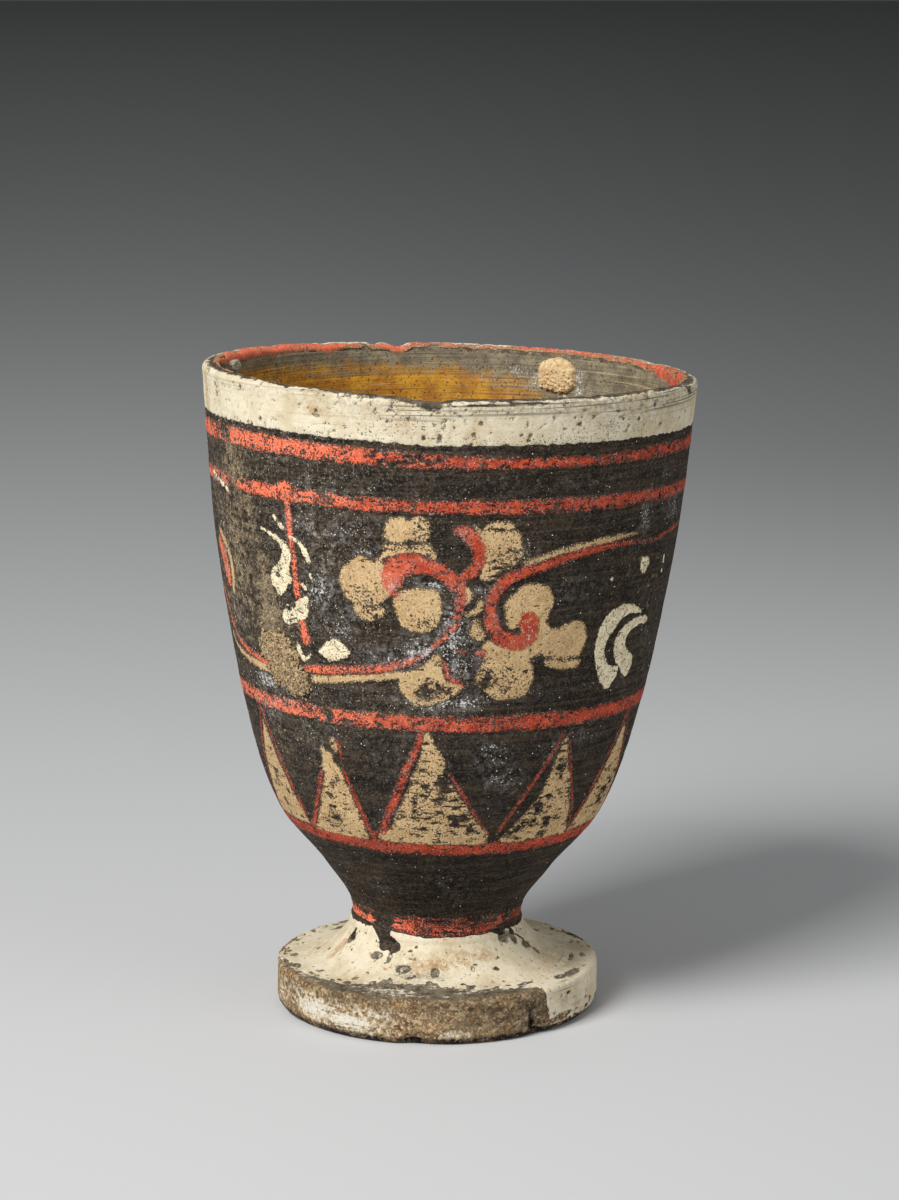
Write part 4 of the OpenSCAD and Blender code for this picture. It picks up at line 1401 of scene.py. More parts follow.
# The cream band round the lip, as angle and value: where it goes over to the inside, how far over it goes in
# front, how worn it is along the lip and just under it, and how grey it is near the lip
RIM_BEHIND = ((-118, 1.0), (-98, 0.0), (96, 0.0), (112, 1.0))
RIM_OVER = ((-95, 1.9), (-50, 1.8), (-25, 1.6), (-8, 1.1), (8, 1.1), (25, 1.5), (60, 1.6), (95, 1.8))
RIM_EDGE_WEAR = (
    (-112, 0.45), (-95, 0.4), (-60, 0.5), (-30, 0.65), (20, 0.85), (60, 0.8), (95, 0.7), (115, 0.5), (180, 0.45),
    (-130, 0.4),
)
RIM_WEAR = ((-90, 0.3), (-45, 0.4), (-10, 0.9), (20, 1.1), (60, 1.1), (180, 0.7))
RIM_GREY_ROUND = ((-90, 0.15), (-50, 0.3), (-15, 0.6), (10, 0.9), (60, 1.0), (100, 0.6), (180, 0.3))

# Its pits, as angle, height and size, and its stained, grey and speckled places with half sizes and strength
RIM_PITS = (
    (-76, 124.8, 0.4), (-68, 126.4, 0.5), (-67, 124.6, 0.55), (-9, 125.2, 0.5), (-5.5, 121.8, 0.6), (-2, 121.9, 0.6),
    (16, 122.4, 0.45), (18, 122.4, 0.4), (30, 124.2, 0.5), (56, 122.6, 0.4), (7, 124.8, 0.35),
)
RIM_STAINS = (
    (-31, 125.2, 1.9, 0.9, 1.0), (-76, 123.5, 1.6, 5, 0.8), (-10, 124.4, 2.4, 0.8, 0.6), (-7, 122, 2.5, 1.8, 0.35),
    (6, 123, 6, 2, 0.25), (56, 122.6, 0.8, 1.2, 0.8), (150, 124, 5, 2, 0.7), (-150, 123, 4, 2, 0.6),
)
RIM_GREY = (
    (-66, 125, 0.8, 2, 0.8), (-8, 125.4, 6, 1.2, 0.6), (-4, 121.6, 5, 1.2, 0.4), (38, 123.6, 2, 1.2, 0.5),
    (50, 125.6, 14, 1.2, 0.5),
)
RIM_SPECKLED = (
    (-30, 121, 10, 1.0, 0.6), (20, 121.2, 18, 1.4, 0.7), (40, 123, 16, 3, 0.6), (-12, 124, 10, 3, 0.5),
    (150, 124, 40, 4, 0.4),
)
SMALL_PITS, SMALL_PIT_SEED, PIT_SIZE = 40, 17, 0.55


def white_band():
    """The cream band under the lip and over it, worn along the edge and pitted."""
    outline = rim_wall()
    end = outline.measure[-1]
    canvas = Canvas(WHITE_LOW - 1.2, end, RIM_R, RIM_COLUMNS)
    phi, z = canvas.grid_phi, canvas.grid_z
    behind, front = round_the_cup(phi, RIM_BEHIND), round_the_cup(phi, RIM_OVER)
    top = LIP_Z + front + behind * (end - LIP_Z - 2.2) - 0.8 * wall_noise(phi, 0 * z, 3, 3, 91, 3)
    canvas.field = np.minimum(z - WHITE_LOW - 0.1, top - z)
    edge = np.exp(-((z - LIP_Z - 1.3) / 0.6) ** 2)
    canvas.flaked(1.12 - 0.85 * edge * round_the_cup(phi, RIM_EDGE_WEAR), 2.2, 0.5, 93)
    chips = spots(phi, z, [(angle, LIP_Z + 0.6, half * 0.55, 1.5, 1.0) for angle, half, _ in LIP_CHIPS], RIM_R)
    canvas.field = np.minimum(canvas.field, 0.5 - chips + 0.5 * (wall_noise(phi, z, 0.9, 0.6, 95, 2) - 0.5))
    canvas.flaked(1.3 - 0.5 * smooth(126.4, 128.2, z) * round_the_cup(phi, RIM_WEAR), 7.0, 0.4, 94)
    picker = np.random.default_rng(SMALL_PIT_SEED)
    for _ in range(SMALL_PITS):
        pit = picker.uniform(-180, 180), picker.uniform(120.6, 127.4), picker.uniform(0.08, 0.2)
        canvas.disc(pit, (0,), True)
    for angle, height, size in RIM_PITS:
        canvas.disc((angle, height, size * PIT_SIZE), (0,), True)
    canvas.ragged(0.3, 0.9, 0.7, 92)
    ground, _ = layers()
    marks = {
        "stain": patches(RIM_STAINS, RIM_R),
        "grey": lambda phi, s, r, z: np.clip(
            smooth(124.6, 127.4, s) * round_the_cup(phi, RIM_GREY_ROUND) + spots(phi, z, RIM_GREY, RIM_R), 0, 1),
        "worn": lambda phi, s, r, z: np.clip(0.1 + spots(phi, z, RIM_SPECKLED, RIM_R), 0, 1),
    }
    return paint_sheet("white_band", outline, canvas.phi, canvas.z, canvas.field, 0.0, ground, "cream", marks=marks)


# How far the foot's coat stays back from the foot's edge: angle and distance
COAT_BARE = (
    (-180, 0.3), (-110, 0.3), (-92, 0.6), (-75, 1.2), (-60, 2.6), (-45, 4.2), (-30, 6.0), (-15, 7.2), (0, 7.0),
    (12, 5.4), (25, 4.4), (36, 3.0), (41, 1.2), (44, -7.2), (70, -7.4), (92, -7.0), (98, 0.2), (130, 0.5), (150, -5),
    (165, -5), (172, 0.3),
)

# Bare places on the foot's coat: angle, radius and half sizes across and along
COAT_FLAKES = (
    (-36.6, 19.6, 1.0, 0.75), (-28.1, 19.7, 0.4, 1.0), (-17.8, 21.2, 1.1, 0.8), (-0.1, 21.8, 0.7, 1.0),
    (-66, 18.5, 0.9, 1.0), (49, 17.5, 1.2, 1.3), (58, 17.8, 0.7, 1.4), (67, 19.6, 1.1, 0.7), (71, 21.2, 0.5, 0.8),
    (-74, 29.5, 1.2, 0.8), (-88, 29.0, 0.8, 0.6), (64, 30.4, 2.6, 0.9), (58, 29.6, 1.6, 0.8), (84, 27.5, 2.0, 0.4),
    (88, 29.6, 1.4, 0.5), (20, 21.2, 0.35, 0.5), (33, 21.8, 0.6, 0.4), (-90, 24, 0.5, 0.5), (-80, 22, 0.4, 0.3),
    (40, 27.6, 1.6, 0.35), (130, 25, 2.4, 1.0), (165, 28, 2.0, 1.4), (-135, 27, 2.6, 1.1), (-165, 21, 1.2, 1.0),
)

# Its stained, grey and speckled places: angle, radius, half sizes and strength, and grey ones on the side by height
COAT_STAINS = (
    (-3, 20.2, 7, 1.6, 0.9), (14, 19.6, 5, 1.6, 0.8), (28, 19.2, 4, 1.4, 0.7), (-70, 20.5, 1.6, 3.4, 0.9),
    (75, 24, 6, 3, 0.5), (-95, 24, 6, 4, 0.5), (150, 23, 8, 4, 0.6), (-150, 25, 8, 3, 0.5),
)
COAT_GREY = ((-8, 22.6, 5, 1.8, 0.9), (-30, 26.6, 8, 1.2, 0.7), (2, 26, 8, 1.2, 0.6), (75, 26, 6, 3, 0.5))
COAT_GREY_SIDE = ((52, 6.6, 3.5, 2.2, 0.9), (58, 4, 3, 2, 0.5))
COAT_SPECKLED = ((-12, 22.5, 8, 3, 1), (10, 20, 7, 2.5, 0.9), (66, 21, 4, 4, 0.8), (80, 28, 6, 3, 0.9))

# Radius outside which the foot's top turns down
DOME_EDGE = 31


def stem_share(end):
    """How far a sheet on the foot's outline leans with the stem, by its measure."""
    return lambda s: smooth(end - 5, end - 2.2, s)


def foot_coat():
    """The cream coat on the foot's top, over its edge at the right, and round the stem's root."""
    outline = Outline(foot_line())
    end = outline.measure[-1]
    s = np.arange(0, end, CELL)
    phi, grid_phi, grid_s = sheet_grid(COAT_COLUMNS, s)
    edge_s = np.interp(FOOT_EDGE - 0.3, outline.points[FOOT_SIDE, 1], outline.measure[FOOT_SIDE])
    bare = round_the_cup(grid_phi, COAT_BARE)
    inward = grid_s - edge_s - bare
    field = inward + 2.6 * (wall_noise(grid_phi, grid_s, 4.5, 0.8, 101, 4, 28) - 0.5) * smooth(-3, 1, bare)
    top = end - 0.7 - 0.4 * wall_noise(grid_phi, 0 * grid_s, 2.5, 2, 102, 3, 17)
    field = np.minimum(field, top - grid_s)
    rag = 0.7 * (wall_noise(grid_phi, grid_s, 1.1, 0.8, 103, 3, COAT_R) - 0.5)
    for angle, radius, wide, long in COAT_FLAKES:
        at = edge_s
        if radius < DOME_EDGE:
            at = np.interp(-radius, -outline.points[FOOT_DOME, 0], outline.measure[FOOT_DOME])
        u = np.radians(turn_from(grid_phi, angle)) * radius / wide
        v = (grid_s - at) / long
        field = np.minimum(field, (np.hypot(u, v) - 1 + rag) * 0.8)
    level = 0.95 - 0.3 * np.exp(-((inward - 0.8) / 1.8) ** 2)
    field = np.minimum(field, (level - wall_noise(grid_phi, grid_s, 1.4, 0.8, 104, 3, 26)) * 3)
    marks = {
        "stain": lambda phi, s, r, z: np.maximum(
            spots(phi, r, COAT_STAINS, COAT_R), 0.12 * wall_noise(phi, s, 5, 4, 105, 2, COAT_R)),
        "grey": lambda phi, s, r, z: np.clip(
            spots(phi, r, COAT_GREY, COAT_R) + spots(phi, z, COAT_GREY_SIDE, FOOT_R) * (r > DOME_EDGE), 0, 1),
        "worn": lambda phi, s, r, z: np.clip(0.12 + 0.5 * spots(phi, r, COAT_SPECKLED, COAT_R), 0, 1),
    }
    ground, _ = layers()
    return paint_sheet(
        "foot_coat", outline, phi, s, field, 0.0, ground, "foot_cream", share=stem_share(end), lift=None, marks=marks)


# Black runs at the stem's root: angle, distance down from the coat's upper edge, and width
DRIPS = (
    ((-48, 0.4, 1.6), (-43, 1.3, 1.7), (-39, 2.2, 1.9), (-35.5, 3.4, 2.2), (-34, 4.3, 2.6)),
    ((-36, 2.6, 2.2), (-30, 3.6, 2.6), (-27, 4.3, 2.9)),
    ((-38, 0.4, 3.4), (-36, 1.8, 3.0)),
    ((-66, 3.2, 1.1), (-67, 4.4, 1.6)),
    ((-56, 0.3, 1.0), (-55, 1.5, 0.7)),
    ((38, 0.4, 1.2), (43, 1.3, 1.5), (48, 1.7, 1.4)),
    ((54, 0.4, 1.0), (59, 2.2, 0.8), (64, 4.0, 1.0), (67, 5.2, 0.7)),
    ((-100, 0.5, 1.6), (-80, 0.9, 1.8), (-62, 0.8, 1.7), (-48, 0.5, 1.4)),
    ((46, 0.6, 1.4), (62, 0.9, 1.7), (80, 0.9, 1.8), (100, 0.5, 1.6)),
    ((-12, 0.2, 0.9), (-11, 1.1, 0.5)),
    ((12, 0.2, 1.4), (20, 1.0, 0.6)),
    ((28, 0.3, 1.2), (31, 1.2, 0.8)),
)


def black_drips():
    """Black that ran down over the white at the stem's root."""
    outline = Outline(foot_line())
    end = outline.measure[-1]
    s = np.arange(end - 9, end, 0.2)
    phi, grid_phi, grid_s = sheet_grid(DRIP_COLUMNS, s, -110, 220)
    field = np.full(grid_s.shape, BARE)
    for run in DRIPS:
        line = curve_through([(math.radians(angle) * DRIP_R, end - down, wide) for angle, down, wide in run])
        field = np.maximum(field, brushed(np.radians(grid_phi) * DRIP_R, grid_s, line))
    field += 0.35 * (wall_noise(grid_phi, grid_s, 0.9, 0.8, 111, 3, DRIP_R) - 0.5)
    return paint_sheet(
        "black_drips", outline, phi, s, field, 0.1, 0.34, "black", ring=False, taper=0.35, share=stem_share(end),
        lift=None)


# The wash in the bowl, as angle and value: how ochre it has stayed and how high that reaches, and its salt haze
WASH_OCHRE = (
    (-180, 1.0), (-150, 1.0), (-120, 0.9), (-90, 0.85), (-45, 0.7), (0, 0.65), (45, 0.6), (90, 0.35), (125, 0.12),
    (150, 0.4), (165, 0.75),
)
WASH_TOP = ((-180, 125.5), (-150, 126), (-120, 127), (-90, 127), (0, 125), (90, 123), (130, 121), (160, 124.5))
WASH_BLOOM = (
    (146, 119.3, 3.5, 1.6, 1.0), (156.5, 122.5, 1.6, 3.4, 1.0), (161, 124.5, 4, 2, 0.9), (142.5, 121, 1.6, 3, 1.0),
    (143, 124, 2, 3, 1.0), (138, 121, 4, 4, 0.6), (170, 123, 6, 3, 0.6), (165, 119, 4, 3, 0.5),
    (150, 117, 5, 2, 0.7), (-178, 122, 6, 2, 0.4), (-160, 118, 1, 1, 0.8),
)

# How deep the wash's back lies in the clay
WASH_BACK = 0.08


def inside_wash():
    """The wash inside the bowl, a thin closed shell with deep throwing rings."""
    ground, _ = layers()
    face = Outline(inside_line(LIP_Z - 0.4, 0.55))
    r, z = face.points.T
    nr, nz = face.out.T
    inner = columns_of(r + ground * nr, z + ground * nz)
    inner[-1] = (0, FLOOR_Z + ground)
    back = columns_of(r - WASH_BACK * nr, z - WASH_BACK * nz)[:-1:6][::-1]
    line = Outline(np.concatenate([[[0, FLOOR_Z - WASH_BACK]], back, inner]))
    phi, row, faces = spun(line, WASH_COLUMNS, False)
    r, z = line.points[row].T
    nr, nz = line.out[row].T
    held = (row > len(back)) * smooth(LIP_Z - 0.6, LIP_Z - 1.6, z) * smooth(0, 6, r)
    rings = 0.16 * (wall_noise(phi * 0.06, z, 40, 1.7, 121, 3) - 0.5) * held
    below = z - round_the_cup(phi, WASH_TOP)
    marks = {
        "ochre": round_the_cup(phi, WASH_OCHRE) * smooth(2.5, -6.0, below) * (0.6 + 0.4 * smooth(40, 116, z)),
        "bloom": np.maximum(spots(phi, z, WASH_BLOOM, NOISE_R), 0.12)}
    beside_axis = r > 1e-6
    mesh = unrolled(
        "inside_wash", phi, r - rings * beside_axis, z + settle(phi, z) * beside_axis, nr * beside_axis, nz, 1.0, faces,
        marks)
    return wrapped("inside_wash", mesh, "wash")


# The red on the lip, as angle and value: where it starts and ends across the lip, and how thick it is
LIP_START = (
    (-180, 0.5), (-166, -0.9), (-162, 0.4), (-146, 0.5), (-138, -0.3), (-107, -0.3), (-85, 0.6), (-40, 1.2),
    (0, 1.4), (60, 1.0), (90, 0.1), (108, -0.3), (118, 0.4), (128, -0.3), (160, -0.2), (166, 0.5),
)
LIP_END = (
    (-180, 1.7), (-170, 1.8), (-166, 2.6), (-160, 2.0), (-152, 1.8), (-146, 3.2), (-142, 2.5), (-120, 2.8),
    (-106, 3.2), (-95, 2.4), (-60, 2.2), (0, 2.0), (60, 2.2), (84, 3.0), (98, 4.6), (108, 4.2), (114, 2.6),
    (122, 2.0), (135, 1.7), (160, 1.6),
)
LIP_THIN = (
    (-180, 0.75), (-160, 0.75), (-150, 0.95), (-105, 0.95), (-80, 0.5), (-60, 0.3), (0, 0.25), (60, 0.3), (84, 0.6),
    (92, 0.8), (115, 0.85), (125, 0.8), (150, 0.75),
)


def lip_paint():
    """Red on the inner edge of the lip, broad at two places and thin between."""
    outline = Outline(lip_line(1.5, 6.5))
    over = outline.measure[np.argmax(outline.points[:, 1])]
    s = np.arange(0, outline.measure[-1], 0.25)
    phi, grid_phi, grid_s = sheet_grid(LIP_COLUMNS, s)
    start, end = over + round_the_cup(grid_phi, LIP_START), over + round_the_cup(grid_phi, LIP_END)
    field = np.minimum(grid_s - start, end - grid_s) + 0.7 * (wall_noise(grid_phi, grid_s, 1.6, 0.7, 131, 4) - 0.5)
    thin = round_the_cup(grid_phi, LIP_THIN)
    field = np.minimum(field, (thin - wall_noise(grid_phi, grid_s, 2.6, 0.6, 132, 3)) * 3)
    ground, _ = layers()
    marks = {"under": lambda phi, s, r, z: 0 * z + 0.55}
    return paint_sheet("lip_paint", outline, phi, s, field, 0.1, ground + 0.06, "red", marks=marks)


# Red bands: their lower and upper edges, and the level above which the paint has gone
BANDS = {
    "rim": (
        ((-51, 116.1), (0, 116.2), (40, 116.2), (65, 116.3), (180, 116.2)),
        ((-75, 119.0), (-51, 119.1), (-27, 119.1), (-10, 118.9), (0, 118.5), (18, 117.9), (39, 117.9), (61, 118.5),
         (120, 119), (180, 118.8)),
        ((-70, 0.75), (-62, 0.45), (-55, 0.75), (-20, 0.72), (-12, 0.5), (-3, 0.48), (4, 0.7), (30, 0.66),
         (65, 0.62), (180, 0.7)),
        "rim_red_band", 48.3),
    "shoulder": (
        ((-60, 107.7), (-20, 107.4), (20, 107.6), (60, 107.7), (180, 107.6)),
        ((-60, 110.1), (-20, 109.8), (20, 110.0), (60, 110.0), (180, 110.0)),
        ((-70, 0.7), (-58, 0.32), (-52, 0.55), (-45, 0.7), (-28, 0.66), (-20, 0.6), (0, 0.68), (40, 0.66),
         (180, 0.68)),
        "shoulder_red_band", 47.2),
    "belly": (
        ((-60, 64.9), (-20, 64.7), (30, 64.8), (70, 64.9), (180, 64.8)),
        ((-60, 67.6), (-20, 67.6), (30, 67.8), (70, 67.7), (180, 67.7)),
        ((-60, 0.66), (-40, 0.7), (-34, 0.5), (-32.4, 0.3), (-31, 0.6), (0, 0.7), (60, 0.72), (180, 0.7)),
        "belly_red_band", 41),
    "base": (
        ((-60, 38.4), (0, 38.2), (60, 38.4), (180, 38.3)),
        ((-60, 41.0), (0, 40.8), (60, 41.0), (180, 41.0)),
        ((-60, 0.72), (0, 0.74), (60, 0.7), (180, 0.72)),
        "base_red_band", 31),
}
STEM_BAND = (
    ((-90, 18.6), (-52, 18.4), (-30, 18.2), (-20, 17.9), (0, 17.8), (20, 17.8), (34, 18.0), (55, 18.6), (90, 18.6),
     (180, 18.6)),
    ((-90, 21.2), (-60, 21.3), (-45, 21.4), (-30, 21.7), (0, 21.6), (30, 21.6), (52, 21.5), (90, 21.2), (180, 21.2)),
    ((-90, 0.66), (-50, 0.62), (-42, 0.1), (-34, 0.1), (-29, 0.6), (0, 0.62), (30, 0.6), (37, 0.5), (42, 0.2),
     (47, 0.5), (90, 0.66), (180, 0.62)),
)

# Worn places on the bands: angle, height, half width, half height, strength
BAND_WEAR = (
    (6, 67.1, 7, 0.8, 0.8), (13, 66.9, 4, 0.7, 0.6), (-32.4, 66.4, 1.0, 2.2, 1.0), (-27.4, 65.5, 1.5, 0.5, 1.0),
    (-52, 67.0, 3, 1.0, 0.5), (-44, 66.8, 3, 0.9, 0.4), (-60, 109, 4, 1.5, 0.6), (-30, 108.4, 4, 1.2, 0.4),
    (-12, 109.5, 5, 0.8, 0.5), (24, 108.2, 5, 0.8, 0.4), (-66, 118, 3, 1.6, 0.6), (-8, 117.5, 7, 1.4, 0.5),
    (38, 117.4, 6, 0.9, 0.4), (-20, 40, 5, 1.0, 0.3), (35, 39.6, 6, 1.0, 0.3), (150, 66, 9, 1.2, 0.6),
    (-150, 109, 8, 1.0, 0.6), (110, 118, 7, 1.2, 0.6),
)


def dull_red(phi, s, r, z):
    """How bright the red has stayed where it is dull, still brighter towards the key light as painted light."""
    return 0.45 * round_the_cup(phi, FRESH_AND_KEY_LIT) - 0.15


def hash_of(word):
    """A small fixed number for a word."""
    return sum((k + 3) * ord(c) for k, c in enumerate(word)) % 997


def red_band(key):
    """One red band round the bowl."""
    low, high, level, node, radius = BANDS[key]
    canvas = Canvas(min(s[1] for s in low) - 0.7, max(s[1] for s in high) + 0.7, radius)
    phi, z = canvas.grid_phi, canvas.grid_z
    canvas.field = np.minimum(z - round_the_cup(phi, low), round_the_cup(phi, high) - z)
    seed = hash_of(key)
    canvas.ragged(0.36, 1.7, 0.8, seed)
    canvas.ragged(0.2, 0.7, 0.5, seed + 2)
    canvas.flaked(round_the_cup(phi, level) + 0.08, 1.2, 0.6, seed + 5)
    marks = {"worn": lambda phi, s, r, z: 0.12 * (key != "base") + spots(phi, z, BAND_WEAR, radius)}
    if key == "base":
        marks["fresh"] = dull_red
    painted(key + "_red_paint", canvas, "red", node, marks=marks)


def stem_band():
    """The red band round the stem, high at the sides, broken where the black ran down."""
    low, high, level = STEM_BAND
    canvas = Canvas(17.2, 23.4, STEM_R, STEM_COLUMNS)
    phi, z = canvas.grid_phi, canvas.grid_z
    canvas.field = np.minimum(z - round_the_cup(phi, low), round_the_cup(phi, high) - z)
    canvas.field += 0.6 * (wall_noise(phi, z, 2.2, 0.6, 151, 3, STEM_R) - 0.5)
    left = round_the_cup(phi, level) + 0.12 - wall_noise(phi, z, 2.6, 0.4, 152, 3, STEM_R)
    canvas.field = np.minimum(canvas.field, left * 3)
    ground, paint = layers()
    marks = {"worn": lambda phi, s, r, z: 0.4 + 0.5 * smooth(19.4, 21.0, z)}
    return on_wall("stem_red_paint", canvas, ground - 0.05, paint + 0.04, "red", marks=marks)


# Plain triangles: left foot, point and right foot as angles, the point's height, and the widths of the two red lines
ROW_START, ROW_STEP = 79, 34.17
TRIANGLES = [(-76, -62.5, -49.4, 63.8, 0.5, 0.8), (49.3, 66, 79, 64.8, 0.6, 0.6)] + [
    (*(ROW_START + ROW_STEP * (k + share) for share in (0, 0.5, 1)), 63.4 + 0.9 * math.sin(4 * k), 0.8, 0.7)
    for k in range(6)]
TRIANGLE_LOW = 41.1

# The triangles in front, as given outlines and brush strokes
TRIANGLE_SHAPES = (
    ((-36.7, 59.7), (-34.7, 58.7), (-32.8, 58.3), (-32.1, 56.8), (-30.8, 55.6), (-29.5, 53.8), (-28.3, 51.2),
     (-26.3, 46.7), (-24.6, 41.8), (-25.2, 40.6), (-37.2, 40.2), (-49.6, 40.2), (-46.2, 42.4), (-42.3, 46.3),
     (-39.2, 50.0), (-37.2, 53.4), (-37.5, 55.0), (-37.1, 57.3)),
    ((-33.0, 61.7), (-31.2, 61.8), (-30.5, 60.4), (-30.5, 58.9), (-31.5, 58.4), (-32.6, 59.4), (-33.4, 60.5)),
    ((-5.3, 64.5), (-3.4, 64.6), (-2.4, 63.7), (-1.7, 62.3), (-0.9, 61.0), (0.8, 59.4), (1.6, 57.7), (1.2, 55.3),
     (2.9, 54.4), (5.8, 51.6), (9.2, 48.6), (12.8, 45.4), (16.9, 42.7), (14.6, 40.4), (3.2, 40.4), (-7.7, 40.4),
     (-16.1, 40.4), (-21.0, 40.8), (-20.3, 42.6), (-16.0, 43.7), (-14.3, 46.7), (-12.0, 49.4), (-8.6, 54.6),
     (-6.2, 59.3), (-5.3, 62.6)),
    ((36.9, 62.3), (38.4, 61.8), (39.8, 57.8), (42.6, 53.4), (45.5, 48.5), (47.9, 43.9), (49.5, 40.6), (36.1, 40.6),
     (20.8, 40.6), (23.2, 43.3), (28.2, 47.0), (31.8, 50.4), (33.5, 54.2), (35.0, 58.2)),
)
TRIANGLE_STROKES = (
    ((-37.9, 53.9, 0.5), (-40.4, 49.9, 0.8), (-43.9, 45.7, 0.9), (-49.4, 41.0, 0.9)),
    ((-30.8, 61.3, 0.3), (-30.0, 59.9, 0.6), (-29.6, 57.6, 0.5)),
    ((-29.7, 55.2, 0.4), (-28.6, 53.7, 0.5), (-26.8, 49.6, 0.7), (-24.8, 45.1, 0.9), (-22.7, 40.8, 1.1)),
    ((-5.5, 63.8, 0.9), (-6.9, 60.9, 1.2), (-9.5, 57.1, 1.4), (-13.7, 50.2, 1.5), (-19.1, 42.7, 1.5)),
    ((2.8, 55.8, 0.3), (6.0, 52.4, 0.5), (10.1, 48.2, 0.5), (16.1, 43.0, 0.4)),
    ((-22.2, 42.2, 0.4), (-19.0, 43.3, 0.6), (-16.0, 43.8, 0.4)),
    ((36.1, 63.4, 0.5), (33.6, 59.6, 0.6), (30.2, 55.2, 0.6), (25.7, 50.1, 0.6), (19.8, 43.2, 0.6)),
    ((38.8, 61.2, 0.3), (41.7, 55.2, 0.4), (46.1, 48.4, 0.4), (50.0, 42.8, 0.3)),
)

# Flaked places on the triangles: angle, height, half sizes and strength
TRIANGLE_FLAKES = (
    (-35.9, 44.4, 2.6, 2.2, 1.0), (-34.5, 51.6, 1.6, 1.6, 0.8), (-33.3, 47.7, 3.2, 1.2, 0.5),
    (0.9, 53.0, 1.9, 4.2, 1.0), (6.6, 45.8, 3.6, 2.4, 1.0), (-2.3, 46.2, 4.6, 1.6, 0.6), (-8.4, 49.6, 3.0, 1.4, 0.4),
    (9.5, 43.4, 4.0, 1.6, 0.7), (37.7, 55.5, 1.8, 2.4, 0.9), (32.6, 48.4, 2.8, 1.8, 0.9),
    (37.8, 43.8, 1.8, 2.6, 1.0), (29.2, 44.6, 2.2, 1.6, 0.9), (44.0, 50.0, 1.4, 3.0, 0.6),
    (24.6, 42.2, 2.6, 1.0, 0.8), (66, 48, 5, 6, 0.7), (-2, 50, 10, 11, 0.5), (37, 50, 9, 10, 0.36),
    (-35, 48, 6, 7, 0.3), (-62, 50, 5, 9, 0.2),
)


def triangle_wear(phi, z):
    """How far the triangles have flaked."""
    behind = 0.8 * smooth(75, 90, np.abs(turn_from(phi, 0))) * smooth(0.5, 0.75, wall_noise(phi, z, 5, 4, 166, 2))
    return np.maximum(spots(phi, z, TRIANGLE_FLAKES, TRIANGLE_R), behind)


def triangle_canvases():
    """The buff triangles and their red lines."""
    low = TRIANGLE_LOW
    buff, red = Canvas(low - 0.4, 65.4, TRIANGLE_R), Canvas(low - 0.6, 66.2, TRIANGLE_R)
    for left, point, right, top, left_w, right_w in TRIANGLES:
        turn = turn_from(buff.grid_phi, point)
        u, z = np.radians(turn) * TRIANGLE_R, buff.grid_z
        a, b, c = (
            np.array((np.radians(turn_from(angle, point)) * TRIANGLE_R, height))
            for angle, height in ((left, low), (point, top), (right, low)))
        inside = [
            ((q[1] - p[1]) * (u - p[0]) - (q[0] - p[0]) * (z - p[1])) / np.hypot(*(q - p)) - wide / 2
            for p, q, wide in ((a, b, left_w), (b, c, right_w))]
        depth = np.minimum(np.minimum(*inside) - 0.25, z - low + 0.1)
        buff.field = np.maximum(buff.field, np.where(np.abs(turn) < 40, depth, BARE))
        for end, wide, side, bow in ((left - point, left_w, -1, -0.4), (right - point, right_w, 1, 0.3)):
            foot, tip = (end - side, low + 0.2, wide * 1.15), (0.3 * side, top + 0.3, wide * 0.7)
            red.stroke((foot, (end / 2 + bow, (low + top) / 2, wide), tip), (point,))
    for outline in TRIANGLE_SHAPES:
        buff.blob(outline, (0,))
    for points in TRIANGLE_STROKES:
        red.stroke(points, (0,))
    buff.field -= 0.2
    buff.ragged(0.3, 1.2, 0.7, 161)
    wear = triangle_wear(buff.grid_phi, buff.grid_z)
    buff.flaked(0.88 - 0.42 * wear, 2.0, 0.9, 162, 4)
    buff.flaked(0.9 - 0.34 * wear, 3.0, 0.45, 165)
    red.ragged(0.2, 1.2, 0.8, 163)
    red.flaked(0.76, 1.2, 0.9, 164)
    return buff, red


# The cloud panel, as given points of angle and height, with a width for brush strokes
UPPER_LEFT_BLOB = (
    (-14.4, 103.8), (-13.8, 105.3), (-12.1, 106.3), (-9.8, 106.6), (-8.2, 105.9), (-7.0, 106.9), (-5.3, 106.8),
    (-4.1, 105.5), (-3.8, 103.7), (-4.0, 102.4), (-6.2, 102.0), (-8.2, 102.4), (-9.8, 101.7), (-12.6, 101.7),
    (-14.2, 102.5),
)
LEFT_LOBE = (
    (-25.9, 93.7), (-24.6, 96.2), (-22.3, 97.7), (-19.7, 98.5), (-17.2, 97.8), (-15.1, 97.6), (-12.0, 95.0),
    (-12.4, 92.2), (-14.4, 90.3), (-17.0, 89.5), (-19.6, 89.2), (-22.7, 89.3), (-24.9, 91.1),
)
CURL_LOBE = (
    (-12.3, 90.9), (-11.0, 92.4), (-8.1, 92.8), (-5.3, 93.1), (-2.4, 92.7), (-1.2, 91.4), (-0.7, 89.3), (-1.0, 86.6),
    (-2.7, 84.9), (-5.2, 84.5), (-8.5, 84.7), (-10.7, 86.0), (-11.7, 87.6),
)
LOW_LOBE = (
    (-11.5, 75.4), (-11.2, 76.4), (-6.8, 77.0), (-4.2, 78.4), (-1.7, 80.2), (-0.4, 79.5), (-0.3, 77.2), (0.4, 75.5),
    (2.8, 74.5), (5.4, 74.1), (2.9, 72.1), (0.3, 71.0), (-2.4, 70.1), (-5.9, 69.6), (-9.1, 71.0), (-10.9, 72.7),
)
LOW_LOBE_WORN = ((-6.6, 72.8), (-4.6, 74.6), (-1.6, 74.8), (0.6, 73.4), (0.2, 71.9), (-2.4, 71.2), (-5.2, 71.3))
